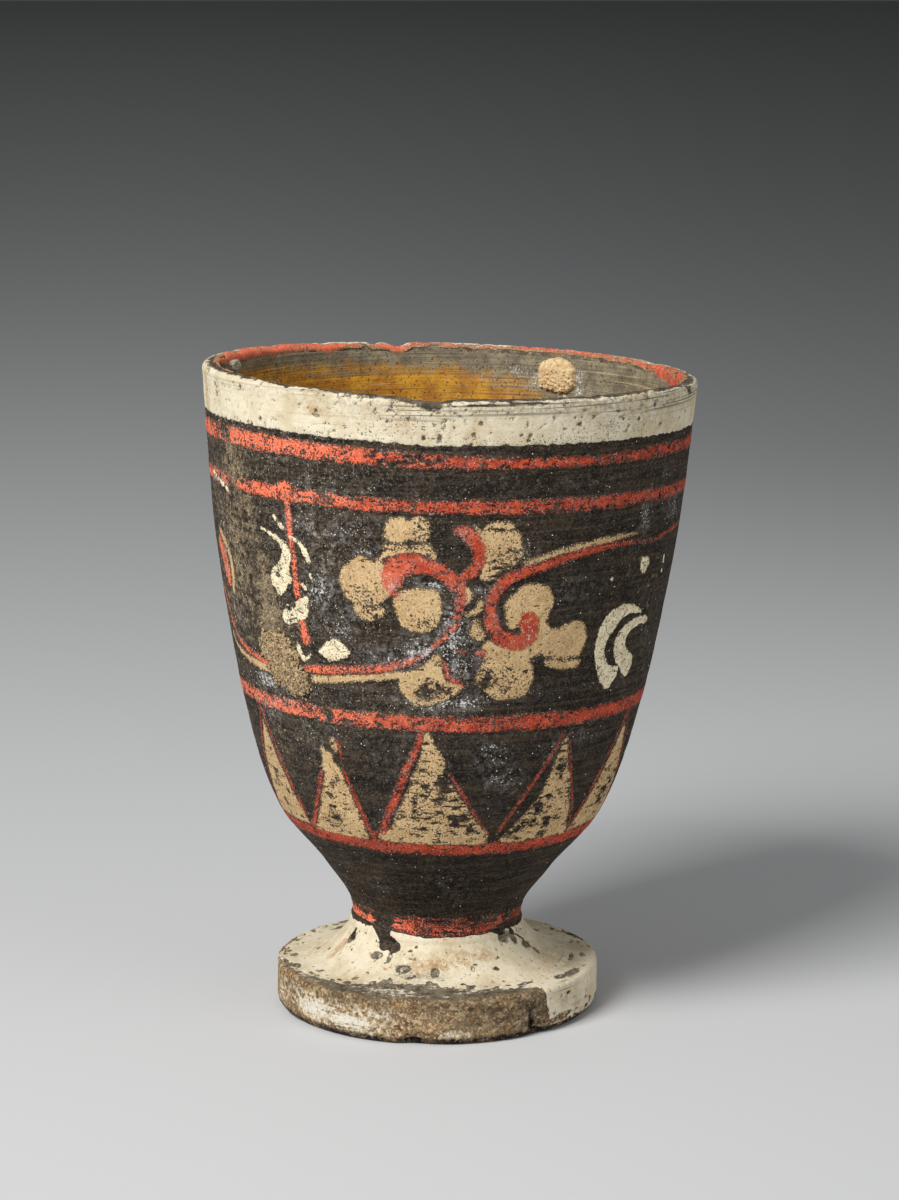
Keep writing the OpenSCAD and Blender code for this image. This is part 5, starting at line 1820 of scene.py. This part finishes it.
UPPER_PATCH = (
    (6.3, 105.4), (8.3, 104.3), (9.0, 105.5), (11.8, 106.0), (15.0, 105.8), (16.0, 104.3), (17.7, 103.3),
    (17.4, 101.6), (18.4, 100.3), (16.5, 97.7), (13.3, 95.4), (9.3, 94.8), (8.0, 95.1), (8.3, 96.8), (8.6, 99.4),
    (8.2, 101.4), (6.8, 103.7),
)
UPPER_PATCH_WORN = ((9.2, 104.6), (10.6, 105.3), (13.4, 105.0), (15.0, 104.9), (14.6, 104.2), (11.2, 104.2))
TREFOIL = (
    (14.5, 89.0), (15.0, 90.7), (17.8, 93.0), (19.8, 94.0), (22.0, 94.0), (24.8, 93.3), (26.4, 91.7), (26.9, 89.6),
    (26.0, 87.6), (25.7, 86.3), (27.4, 85.0), (29.8, 85.0), (33.2, 86.0), (35.3, 85.9), (37.1, 84.9), (38.1, 82.8),
    (37.6, 80.4), (36.3, 78.8), (33.1, 78.7), (28.9, 78.9), (24.8, 79.9), (22.1, 79.0), (23.2, 77.5), (23.8, 75.1),
    (22.5, 72.7), (20.3, 71.5), (13.8, 71.3), (9.9, 73.8), (8.4, 75.5), (9.2, 77.6), (10.3, 79.3), (9.3, 81.6),
    (10.9, 83.0), (14.0, 82.2), (18.6, 83.8), (18.6, 85.6), (15.9, 85.3),
)
TREFOIL_STRIP = ((26.7, 78.5), (31.8, 78.2), (37.0, 78.0), (36.2, 76.7), (31.4, 76.5), (27.6, 77.4))
TREFOIL_WORN = ((8.6, 75.6), (9.6, 77.4), (12.2, 77.4), (12.4, 75.4), (11.4, 73.4), (9.6, 73.6))
BUFF_STROKES = (
    ((-14.2, 100.8, 0.9), (-9.3, 100.8, 0.9)),
    ((-7.6, 101.0, 0.8), (-4.0, 101.1, 0.9)),
    ((-15.7, 97.7, 0.9), (-14.2, 99.2, 0.9), (-11.0, 100.0, 0.9), (-6.9, 100.3, 0.9), (-3.6, 99.9, 0.9),
     (-2.9, 99.0, 0.7)),
    ((-35.7, 73.2, 1.6), (-28.7, 73.7, 1.5), (-20.4, 74.7, 1.4), (-11.5, 75.7, 1.4)),
    ((18.6, 98.0, 0.8), (25.8, 99.5, 1.0), (33.2, 100.7, 1.1), (41.2, 101.4, 1.1), (46.5, 101.8, 0.8),
     (51.0, 101.9, 0.25)),
    ((8.5, 90.6, 1.0), (8.0, 89.1, 1.2), (5.5, 88.1, 0.7)),
    ((7.7, 86.4, 1.7), (7.8, 84.7, 2.4), (9.1, 83.9, 1.4)),
    ((-21.0, 88.2, 2.4), (-18.4, 87.4, 2.8), (-15.6, 88.0, 1.8)),
    ((3.6, 93.6, 0.8), (5.6, 92.2, 1.4), (4.6, 90.0, 0.6)),
)
RED_CURL = (
    (-12.2, 92.3, 2.2), (-12.6, 94.6, 4.2), (-11.6, 96.6, 4.6), (-8.9, 97.6, 4.3), (-5.7, 97.5, 3.4),
    (-2.9, 97.0, 2.8), (-0.3, 95.9, 2.6), (2.0, 94.4, 3.0), (3.5, 92.4, 2.4), (3.7, 90.4, 1.9), (3.1, 88.1, 1.5),
    (2.3, 86.0, 1.7), (1.1, 84.4, 1.4), (-1.8, 82.4, 1.0), (-4.3, 80.5, 1.0), (-7.7, 78.8, 1.3), (-12.1, 77.6, 1.4),
    (-18.0, 76.6, 1.5), (-24.2, 75.9, 1.5), (-31, 75.4, 1.6), (-38, 74.9, 1.3),
)
RED_UPPER = (
    (2.3, 104.3, 1.7), (4.0, 104.2, 2.5), (6.0, 102.7, 2.5), (7.5, 100.9, 2.4), (7.9, 98.9, 2.4), (6.7, 96.9, 2.2),
    (4.8, 95.6, 2.0), (3.5, 94.3, 2.0),
)
RED_HOOK = (
    (77.1, 101.2, 0.6), (67.6, 100.5, 0.8), (59.3, 99.9, 0.5), (49.6, 100.2, 0.6), (41.4, 100.2, 1.1),
    (32.9, 99.3, 1.6), (26.0, 97.9, 1.7), (19.6, 96.5, 1.9), (15.4, 95.2, 2.1), (12.9, 93.4, 2.3), (11.3, 91.3, 2.2),
    (11.1, 88.7, 2.3), (11.5, 86.4, 2.6), (13.2, 84.0, 2.7), (16.2, 82.7, 3.2), (19.3, 82.6, 3.3), (21.3, 83.9, 3.4),
    (21.5, 85.6, 3.7), (20.7, 86.7, 3.8),
)
RED_BITS = (
    ((-0.2, 79.4, 0.7), (0.4, 77.5, 1.1), (1.9, 75.5, 1.3), (5.7, 74.1, 1.1)),
    ((3.4, 80.8, 0.6), (4.9, 80.7, 0.6)),
    ((8.3, 80.2, 0.8), (9.6, 80.6, 1.4), (10.2, 81.1, 0.9)),
)
SIDE_RED = (
    ((-73.8, 95.4, 3.0), (-71.4, 92.3, 4.0), (-69.8, 88.6, 2.8)),
    ((-80, 86, 0.8), (-75.5, 82.2, 0.9), (-72.4, 78.6, 0.9), (-67.2, 76.3, 1.0), (-60.9, 75.2, 1.2),
     (-53.7, 74.2, 1.1)),
)
SIDE_BUFF = (
    ((-72.8, 98.0, 1.2), (-67.8, 95.2, 1.6), (-66.0, 91.5, 1.7), (-67.6, 86.6, 1.4)),
    ((-75.5, 77.0, 0.8), (-70.4, 74.6, 1.0), (-60.6, 73.5, 1.6), (-51.7, 72.9, 1.6)),
)
OUTER_CRESCENT = (
    (52.6, 87.9), (56.4, 87.0), (59.0, 85.9), (58.9, 85.2), (53.4, 85.8), (50.0, 84.8), (47.1, 82.5), (45.5, 80.2),
    (46.1, 78.0), (48.7, 75.8), (52.4, 75.4), (53.0, 73.7), (51.0, 71.7), (48.9, 71.0), (45.7, 73.0), (43.3, 76.1),
    (41.6, 79.5), (41.9, 82.7), (44.1, 86.0), (47.6, 87.5),
)
INNER_CRESCENT = (
    (58.7, 84.7), (63.7, 84.1), (63.9, 82.8), (58.2, 82.8), (54.6, 81.8), (53.7, 80.1), (55.6, 78.4), (58.6, 77.0),
    (59.7, 75.0), (57.5, 72.6), (54.5, 74.2), (50.5, 76.8), (48.9, 79.9), (49.5, 82.0), (52.6, 83.8),
)
WHITE_DAB = ((54.7, 96.7), (58.6, 96.4), (58.4, 94.5), (56.2, 93.3), (54.8, 95.3))
WHITE_TICK, WHITE_DOTS = ((67.8, 95.6, 0.7), (68.1, 94.0, 0.6)), ((68.0, 92.7, 0.4), (44.0, 93.5, 0.42))
BLOB_HOLES = ((-41.2, 86.6, 0.6), (-44.6, 92.8, 0.6))
WHITE_BLOBS = (
    ((-46.8, 93.0), (-44.0, 95.1), (-41.9, 96.7), (-40.3, 95.8), (-40.3, 93.7), (-40.1, 91.6), (-42.3, 90.0),
     (-44.4, 88.7), (-45.8, 90.0), (-47.2, 91.2)),
    ((-44.1, 85.2), (-42.2, 86.9), (-39.8, 86.4), (-38.6, 88.6), (-35.5, 89.3), (-35.1, 87.3), (-36.0, 85.4),
     (-38.4, 84.4), (-42.3, 83.0), (-43.8, 84.2)),
    ((-33.3, 78.6), (-31.1, 80.6), (-27.9, 81.6), (-25.9, 80.7), (-24.0, 79.5), (-25.1, 78.5), (-27.8, 77.5),
     (-30.4, 77.3)),
)
WHITE_STROKES = (
    ((-49.2, 101.4, 0.4), (-44.5, 100.2, 0.9), (-41.7, 98.8, 1.5), (-40.9, 97.1, 2.2), (-41.8, 95.2, 2.6)),
    ((-44.3, 104.0, 0.5), (-42.4, 102.7, 0.7), (-40.8, 101.9, 0.6)),
    ((-39.8, 100.7, 0.9), (-37.1, 99.9, 1.2), (-35.1, 98.1, 1.3), (-34.1, 96.5, 1.2)),
    ((-40.0, 80.0, 0.6), (-39.4, 78.0, 1.2), (-37.8, 76.7, 1.1), (-36.0, 77.8, 0.8)),
    ((-33.8, 93.6, 0.4), (-33.4, 92.4, 0.5)),
    ((-75.5, 109.5, 0.4), (-68.4, 108.2, 0.9), (-63.5, 106.8, 0.8)),
    ((-36.4, 91.8, 0.4), (-35.8, 91.0, 0.6)),
)
DIVIDER = (
    (-39.7, 107.0, 1.2), (-39.4, 103.8, 1.2), (-39.2, 100.1, 1.3), (-38.7, 96.7, 1.2), (-38.6, 93.2, 1.3),
    (-38.3, 89.7, 1.5), (-38.0, 86.6, 1.4), (-37.6, 83.1, 1.9), (-36.9, 80.6, 2.0),
)
DIVIDER_DOT = (-40.3, 109.2, 1.85)
PANEL_LOW, PANEL_TOP = 68.0, 110.4

# Flaked places on the clouds: angle, height and half sizes
FLAKY = (
    (-18, 87.6, 4, 1.6), (-5, 104, 3, 2), (-4, 86, 4, 2.4), (-20, 91, 4, 2.5), (15, 74.5, 7, 3.5), (-2, 72, 5, 2.5),
    (14, 98, 5, 5), (9, 87, 2, 3),
)


def cloud_wear(phi, s, r, z):
    """How far the clouds have flaked."""
    return spots(phi, z, [(a + t, h, w, k, 0.8) for t in PANELS for a, h, w, k in FLAKY])


def from_panels(phi, angle):
    """How far angles are from a place that every panel has."""
    return np.minimum(*(np.abs(turn_from(phi, angle + turn)) for turn in PANELS))


def cloud_canvases():
    """The buff clouds and the red scroll on the panels."""
    buff = Canvas(PANEL_LOW, PANEL_TOP)
    for outline in (UPPER_LEFT_BLOB, LEFT_LOBE, CURL_LOBE, LOW_LOBE, UPPER_PATCH, TREFOIL, TREFOIL_STRIP):
        buff.blob(outline)
    for points in BUFF_STROKES + SIDE_BUFF:
        buff.stroke(points)
    plain = buff.field.copy()
    for outline in (LOW_LOBE_WORN, UPPER_PATCH_WORN, TREFOIL_WORN):
        buff.blob(outline, hole=True)
    worn = wall_noise(buff.grid_phi, buff.grid_z, 1.1, 0.9, 171, 3)
    left = np.maximum(buff.field, np.minimum(plain, (worn - 0.6) * 3))
    buff.field = np.where(plain > buff.field, left, buff.field)
    buff.ragged(0.26, 1.0, 0.8, 172)
    phi, z = buff.grid_phi, buff.grid_z
    streaky = np.exp(-(from_panels(phi, 14.5) / 6) ** 2) * smooth(103, 98, z) * smooth(93.5, 95.5, z)
    flaky = cloud_wear(phi, 0, 0, z)
    buff.flaked(0.86 - 0.22 * flaky, 0.8, 0.5, 173, 4)
    buff.flaked(1.2 - 0.8 * streaky, 3.0, 0.4, 174, 4)
    red = Canvas(PANEL_LOW, PANEL_TOP)
    for points in (RED_CURL, RED_UPPER, RED_HOOK) + RED_BITS + SIDE_RED:
        red.stroke(points)
    red.ragged(0.2, 1.0, 0.8, 175)
    faded = np.exp(-(from_panels(phi, 2) / 8) ** 2) * smooth(94, 88, z) + np.exp(-(from_panels(phi, 56) / 10) ** 2)
    red.flaked(0.84 - 0.2 * np.clip(faded, 0, 1), 0.9, 0.6, 176, 4)
    return buff, red


def white_canvases():
    """The white crescents with their dabs, and the strokes by the divider."""
    crescents, strokes = Canvas(PANEL_LOW, PANEL_TOP), Canvas(PANEL_LOW, PANEL_TOP)
    for outline in (OUTER_CRESCENT, INNER_CRESCENT, WHITE_DAB):
        crescents.blob(outline)
    crescents.stroke(WHITE_TICK)
    for place in WHITE_DOTS:
        crescents.disc(place)
    for outline in WHITE_BLOBS:
        strokes.blob(outline)
    for points in WHITE_STROKES:
        strokes.stroke(points)
    for place in BLOB_HOLES:
        strokes.disc(place, hole=True)
    crescents.ragged(0.28, 1.0, 0.9, 181)
    strokes.ragged(0.42, 0.9, 0.8, 182)
    crescents.flaked(0.9, 0.8, 0.6, 183, 4)
    strokes.flaked(0.86, 0.8, 0.6, 184, 4)
    return crescents, strokes


def divider_canvas():
    """The upright red divider and its dot."""
    canvas = Canvas(78, 112)
    canvas.stroke(DIVIDER)
    canvas.disc(DIVIDER_DOT)
    canvas.ragged(0.22, 1.2, 0.9, 191)
    canvas.flaked(0.78, 0.8, 0.6, 192, 4)
    return canvas


# The soil crust's outline, and how thick it is
CRUST_DEPTH = 0.95
CRUST = (
    (-53.7, 79.8), (-49.5, 80.9), (-46.0, 80.7), (-41.9, 78.0), (-39.8, 75.4), (-38.4, 73.1), (-38.3, 71.0),
    (-41.8, 69.2), (-45.7, 70.1), (-50.4, 72.0), (-52.7, 74.9), (-54.4, 77.5),
)


def crust_piece():
    """A thick crust of soil on the wall, lumpy and thin at its edge."""
    canvas = Canvas(67.5, 83, 43)
    canvas.blob(CRUST, (0,))
    canvas.ragged(1.0, 1.5, 1.5, 201)
    canvas.ragged(1.4, 0.6, 0.6, 204)
    canvas.flaked(0.8, 0.9, 0.9, 202)
    ground, _ = layers()
    marks = {"grains": lambda phi, s, r, z: 0.25 + 0.75 * smooth(0.0, 1.0, wall_noise(phi, z, 1.2, 1.2, 203, 2))}
    return on_wall("soil_crust_skin", canvas, ground, ground + CRUST_DEPTH, "earth", taper=3.0, marks=marks)


# Rings of points in a lump, and steps round it
LUMP_ROWS, LUMP_COLUMNS = 44, 110


def lump_piece(name, angle, height, wide, tall, high, material, seed):
    """An uneven lump on the inside wall, with its back in the wall."""
    rows, columns = LUMP_ROWS, LUMP_COLUMNS
    turns = np.arange(columns) * 2 * math.pi / columns
    share, around = np.meshgrid((np.arange(1, rows) / (rows - 1)) ** 0.8, turns, indexing="ij")
    share, around = np.append(share.ravel(), 0), np.append(around.ravel(), 0)
    u, v = share * np.cos(around), share * np.sin(around)

    def rough(x, y, number):
        return value_noise(x, y, 0 * u + 0.5, seed + number) - 0.5

    uneven = 1 + 0.34 * rough(1.3 * np.cos(around) + 5, 1.3 * np.sin(around) + 5, 0)
    uneven += 0.12 * rough(5 * np.cos(around) + 9, 5 * np.sin(around) + 9, 1)
    humps, crumbs, grit = (
        rough(u * size + 9, v * size + 7, number) for number, size in ((2, 2.2), (3, 7), (4, 17)))
    loose = smooth(0.2, -0.5, v)
    proud = high * (1 - share**3.2) ** 0.5 * (1 + 0.5 * humps + 0.12 * v)
    proud += high * (0.1 + 0.2 * loose) * crumbs + high * (0.05 + 0.1 * loose) * grit
    proud = proud * smooth(1.02, 0.9, share) - 0.3 * smooth(0.9, 1, share)
    z = np.minimum(height + v * tall * uneven, LIP_Z - 0.1)
    phi = angle - np.degrees(u * wide * uneven / inside_radius(height))
    r = inside_radius(z) - proud
    count, rim = len(u), (rows - 2) * columns
    j = np.arange(columns)
    k = (j + 1) % columns
    faces = [columns_of(np.full(columns, count - 1), j, k)] + stitched(columns, rows - 1)
    faces.append(columns_of(rim + j, np.full(columns, count), rim + k))
    phi, z = np.append(phi, angle), np.append(z, height)
    r = np.append(r, inside_radius(height) + 0.6)
    grains = np.append((0.25 + 0.75 * loose) * (share < 0.96), 0)
    ones = np.ones(count + 1)
    mesh = unrolled(name, phi, r, z + settle(phi, z), -ones, 0 * ones, 1.0, faces, {"grains": grains})
    return wrapped(name, mesh, material, rings=0.0, uneven=0.0)


# How finely each grain's ball is divided
GRAIN_SIDES = 1


def scattered(name, host, material, density, smallest, largest, flatness, seed):
    """Grains strewn over a piece."""
    return settled(name, host.data.copy(), tree_named("scatter grains", scatter_tree), {
        "Density": density, "Smallest": smallest * MM, "Largest": largest * MM, "Flatness": flatness,
        "Sides": GRAIN_SIDES, "Seed": seed, "Material": finish(material)})


def smear_host():
    """The part of the wall that carries loose soil, for its grains."""
    canvas = Canvas(66, 122, columns=SMEAR_COLUMNS)
    canvas.field = soil_at(canvas.grid_phi, canvas.grid_z) - 0.5
    ground, _ = layers()
    marks = {"grains": lambda phi, s, r, z: smooth(0.45, 0.95, soil_at(phi, z)) * 0.09}
    return on_wall("smear_host", canvas, ground - 0.1, ground, "earth", marks=marks)


# Operators

class CUP_OT_clay(bpy.types.Operator):
    """Make the clay bowl and foot, and finish the hidden clay stem and the slip"""

    bl_idname = "cup.clay"
    bl_label = "Clay"

    def execute(self, context):
        hand_over(clay_bowl(), "clay", "bowl")
        hand_over(clay_foot(), "clay", "foot")
        for node, material in (("stem", "clay"), ("bowl_luting_slip", "slip"), ("foot_luting_slip", "slip")):
            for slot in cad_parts[node].material_slots:
                slot.material = finish(material)
        return {"FINISHED"}


class CUP_OT_coats(bpy.types.Operator):
    """Make the black ground, the white band under the lip and the coat on the foot"""

    bl_idname = "cup.coats"
    bl_label = "Ground coats"

    def execute(self, context):
        sizes = context.scene.cup_sizes
        black = black_coat()
        hand_over(black, "black_coat", "black_ground")
        hand_over(white_band(), "cream_coat", "rim_white_band")
        hand_over(foot_coat(), "cream_coat", "foot_white_coat", "stem_white_coat")
        hand_over(black_drips(), "black_coat")
        specks = scattered("salt_specks", black, "salt", sizes.salt_density, 0.035, 0.13, 0.5, 5)
        hand_over(specks, "white_paint")
        return {"FINISHED"}


class CUP_OT_inside(bpy.types.Operator):
    """Make the wash inside the bowl and the red on the lip"""

    bl_idname = "cup.inside"
    bl_label = "Inside and lip"

    def execute(self, context):
        hand_over(inside_wash(), "ochre_wash", "inside_ochre_wash")
        hand_over(lip_paint(), "red_paint", "lip_red_line")
        return {"FINISHED"}


class CUP_OT_bands(bpy.types.Operator):
    """Make the red bands round the bowl and the stem"""

    bl_idname = "cup.bands"
    bl_label = "Red bands"

    def execute(self, context):
        for key in BANDS:
            red_band(key)
        hand_over(stem_band(), "red_paint", "stem_red_band")
        return {"FINISHED"}


class CUP_OT_triangles(bpy.types.Operator):
    """Make the row of triangles round the belly"""

    bl_idname = "cup.triangles"
    bl_label = "Triangles"

    def execute(self, context):
        buff, red = triangle_canvases()
        worn = {"worn": lambda phi, s, r, z: 0.15 + 0.9 * triangle_wear(phi, z)}
        painted("triangle_buff", buff, "buff", "triangles_buff", 0.02, marks=worn)
        dull = {"under": buff.covers, "fresh": dull_red}
        painted("triangle_lines", red, "red", "triangles_red_outline", 0.04, marks=dull)
        return {"FINISHED"}


class CUP_OT_clouds(bpy.types.Operator):
    """Make the cloud scroll on the panels"""

    bl_idname = "cup.clouds"
    bl_label = "Cloud scroll"

    def execute(self, context):
        buff, red = cloud_canvases()
        painted("cloud_buff", buff, "buff", "clouds_buff", marks={"worn": cloud_wear})
        painted("cloud_scroll", red, "red", "clouds_red_scroll", 0.06, marks={"under": buff.covers})
        return {"FINISHED"}


class CUP_OT_strokes(bpy.types.Operator):
    """Make the white crescents and strokes, and the red divider"""

    bl_idname = "cup.strokes"
    bl_label = "Crescents, strokes and divider"

    def execute(self, context):
        crescents, strokes = white_canvases()
        painted("white_crescents", crescents, "white", "crescents_white", 0.05, fray=THICK_FRAY)
        painted("white_strokes", strokes, "white", "strokes_white", 0.12, fray=THICK_FRAY)
        painted("red_divider", divider_canvas(), "red", "divider_red", 0.06)
        return {"FINISHED"}


class CUP_OT_soil(bpy.types.Operator):
    """Make the lump inside, the crust outside and loose grains of soil"""

    bl_idname = "cup.soil"
    bl_label = "Burial soil"

    def execute(self, context):
        density = context.scene.cup_sizes.grain_density
        lump = lump_piece("sand_lump", 149.7, 124.0, 5.0, 3.75, 1.9, "lump", 211)
        hand_over(scattered("lump_grains", lump, "lump", density, 0.1, 0.34, 0.9, 7), "burial_soil")
        hand_over(lump, "burial_soil", "soil_lump")
        hand_over(lump_piece("lip_dab", -104, 126.9, 2.4, 2.1, 1.6, "dab", 231), "luting_slip")
        crust = crust_piece()
        hand_over(scattered("crust_grains", crust, "earth", density, 0.1, 0.28, 0.8, 8), "burial_soil")
        hand_over(crust, "burial_soil", "soil_crust")
        host = smear_host()
        hand_over(scattered("smear_grains", host, "earth", density, 0.08, 0.2, 0.6, 9), "burial_soil")
        mesh = host.data
        bpy.data.objects.remove(host)
        bpy.data.meshes.remove(mesh)
        return {"FINISHED"}


# The lamps' places and sizes in metres, what they point at, and the colour of the light from all round
KEY_PLACE, KEY_SIZE = (-0.62, -0.72, 0.95), 0.55
FILL_PLACE, FILL_SIZE = (0.8, -0.55, 0.45), 0.8
LIT_PLACE = (0, 0, 0.07)
SKY_COLOUR = (0.95, 0.98, 1.0, 1.0)

# The camera's picture height in millimetres, its near end and its distance in metres, and the floor's steps round
PICTURE_HEIGHT, CAMERA_NEAR, CAMERA_REACH = 24.0, 0.01, 0.64
FLOOR_COLUMNS = 96


class CUP_OT_stage(bpy.types.Operator):
    """Make the floor, the lights and the camera"""

    bl_idname = "cup.stage"
    bl_label = "Stage"

    def execute(self, context):
        scene, stage = context.scene, context.scene.cup_stage
        self.floor(stage)
        self.light("key_light", KEY_PLACE, KEY_SIZE, stage.key_power)
        self.light("fill_light", FILL_PLACE, FILL_SIZE, stage.fill_power)
        world = scene.world or bpy.data.worlds.new("studio")
        scene.world = world
        world.use_nodes = True
        back = world.node_tree.nodes["Background"]
        back.inputs["Color"].default_value = SKY_COLOUR
        back.inputs["Strength"].default_value = stage.sky
        camera = bpy.data.cameras.new("camera")
        camera.sensor_fit = "VERTICAL"
        camera.sensor_height = PICTURE_HEIGHT
        camera.lens = stage.lens
        camera.clip_start = CAMERA_NEAR
        view = bpy.data.objects.new("camera", camera)
        view.location = stage.camera_place
        view.rotation_euler = (math.radians(90) - stage.camera_pitch, 0, 0)
        scene.collection.objects.link(view)
        scene.camera = view
        scene.view_settings.view_transform = "Standard"
        return {"FINISHED"}

    def light(self, name, place, size, power):
        """A soft lamp that points at the cup."""
        lamp = bpy.data.lights.new(name, "AREA")
        lamp.size = size
        lamp.energy = power
        lit = bpy.data.objects.new(name, lamp)
        lit.location = place
        lit.rotation_euler = (Vector(LIT_PLACE) - Vector(place)).to_track_quat("-Z", "Y").to_euler()
        bpy.context.scene.collection.objects.link(lit)

    def floor(self, stage):
        """A plain pale floor with painted shade: its colour darkens far away and away from the key light, as the light
        falls off.
        """
        rings = np.concatenate([np.linspace(0.02, 0.5, 25), np.geomspace(0.55, stage.floor_reach, 60)])
        turns = np.arange(FLOOR_COLUMNS) * 2 * math.pi / FLOOR_COLUMNS
        points = [(0.0, 0.0, 0.0)]
        for ring in rings:
            points += [(ring * math.cos(a), ring * math.sin(a), 0.0) for a in turns]
        j = np.arange(FLOOR_COLUMNS)
        faces = [columns_of(0 * j, 1 + j, 1 + (j + 1) % FLOOR_COLUMNS)] + stitched(FLOOR_COLUMNS, len(rings), 1)
        mesh = faces_to_mesh("floor", points, faces)
        material = bpy.data.materials.new("plain floor")
        material.use_nodes = True
        n = Nodes(material.node_tree)
        place = n.add("ShaderNodeTexCoord").outputs["Object"]
        far = n.add("ShaderNodeVectorMath", {0: place}, operation="LENGTH").outputs["Value"]
        # painted shade: the floor's colour fades towards the far colour with distance from the cup
        fade = n.math("DIVIDE", far, n.plus(far, stage.fade))
        across = n.add("ShaderNodeSeparateXYZ", {0: place}).outputs
        bearing = n.math("DIVIDE", across["X"], n.plus(far, CAMERA_REACH))
        # painted shade: darker to the right of the key light and behind the cup
        away = n.times(n.step(bearing, -0.12, 0.16), n.step(across["Y"], 0.15, 0.9))
        shader = material.node_tree.nodes["Principled BSDF"]
        faded = n.mix(fade, linear(stage.floor), linear(stage.far))
        n.feed(shader.inputs["Base Color"], n.layered(faded, (away, stage.painted_falloff_shade, linear((0, 0, 0)))))
        shader.inputs["Roughness"].default_value = 0.9
        shader.inputs["Specular IOR Level"].default_value = 0.1
        mesh.materials.append(material)
        floor = bpy.data.objects.new("floor", mesh)
        bpy.context.scene.collection.objects.link(floor)


class CUP_PT_panel(bpy.types.Panel):
    """The cup's steps and settings."""

    bl_idname = "CUP_PT_panel"
    bl_label = "Stem Cup"
    bl_space_type = "VIEW_3D"
    bl_region_type = "UI"
    bl_category = "Stem Cup"

    def draw(self, context):
        layout = self.layout
        for step in OPERATORS:
            layout.operator(step.bl_idname)
        for group in SETTINGS:
            box = layout.box()
            for key in SETTINGS[group].__annotations__:
                box.prop(getattr(context.scene, group), key)


OPERATORS = (
    CUP_OT_clay, CUP_OT_coats, CUP_OT_inside, CUP_OT_bands, CUP_OT_triangles, CUP_OT_clouds, CUP_OT_strokes,
    CUP_OT_soil, CUP_OT_stage,
)
SETTINGS = {"cup_sizes": CupSizes, "cup_colours": CupColours, "cup_stage": CupStage}


def register():
    """Adds the settings, the operators and the panel."""
    for name, group in SETTINGS.items():
        bpy.utils.register_class(group)
        setattr(bpy.types.Scene, name, bpy.props.PointerProperty(type=group))
    for step in OPERATORS + (CUP_PT_panel,):
        bpy.utils.register_class(step)


def unregister():
    """Takes them away again."""
    for step in reversed(OPERATORS + (CUP_PT_panel,)):
        bpy.utils.unregister_class(step)
    for name, group in SETTINGS.items():
        delattr(bpy.types.Scene, name)
        bpy.utils.unregister_class(group)


def main():
    """Builds the cup and its stage."""
    register()
    bpy.ops.cup.stage()
    bpy.ops.cup.clay()
    bpy.ops.cup.coats()
    bpy.ops.cup.inside()
    bpy.ops.cup.bands()
    bpy.ops.cup.triangles()
    bpy.ops.cup.clouds()
    bpy.ops.cup.strokes()
    bpy.ops.cup.soil()


if __name__ == "__main__":
    main()
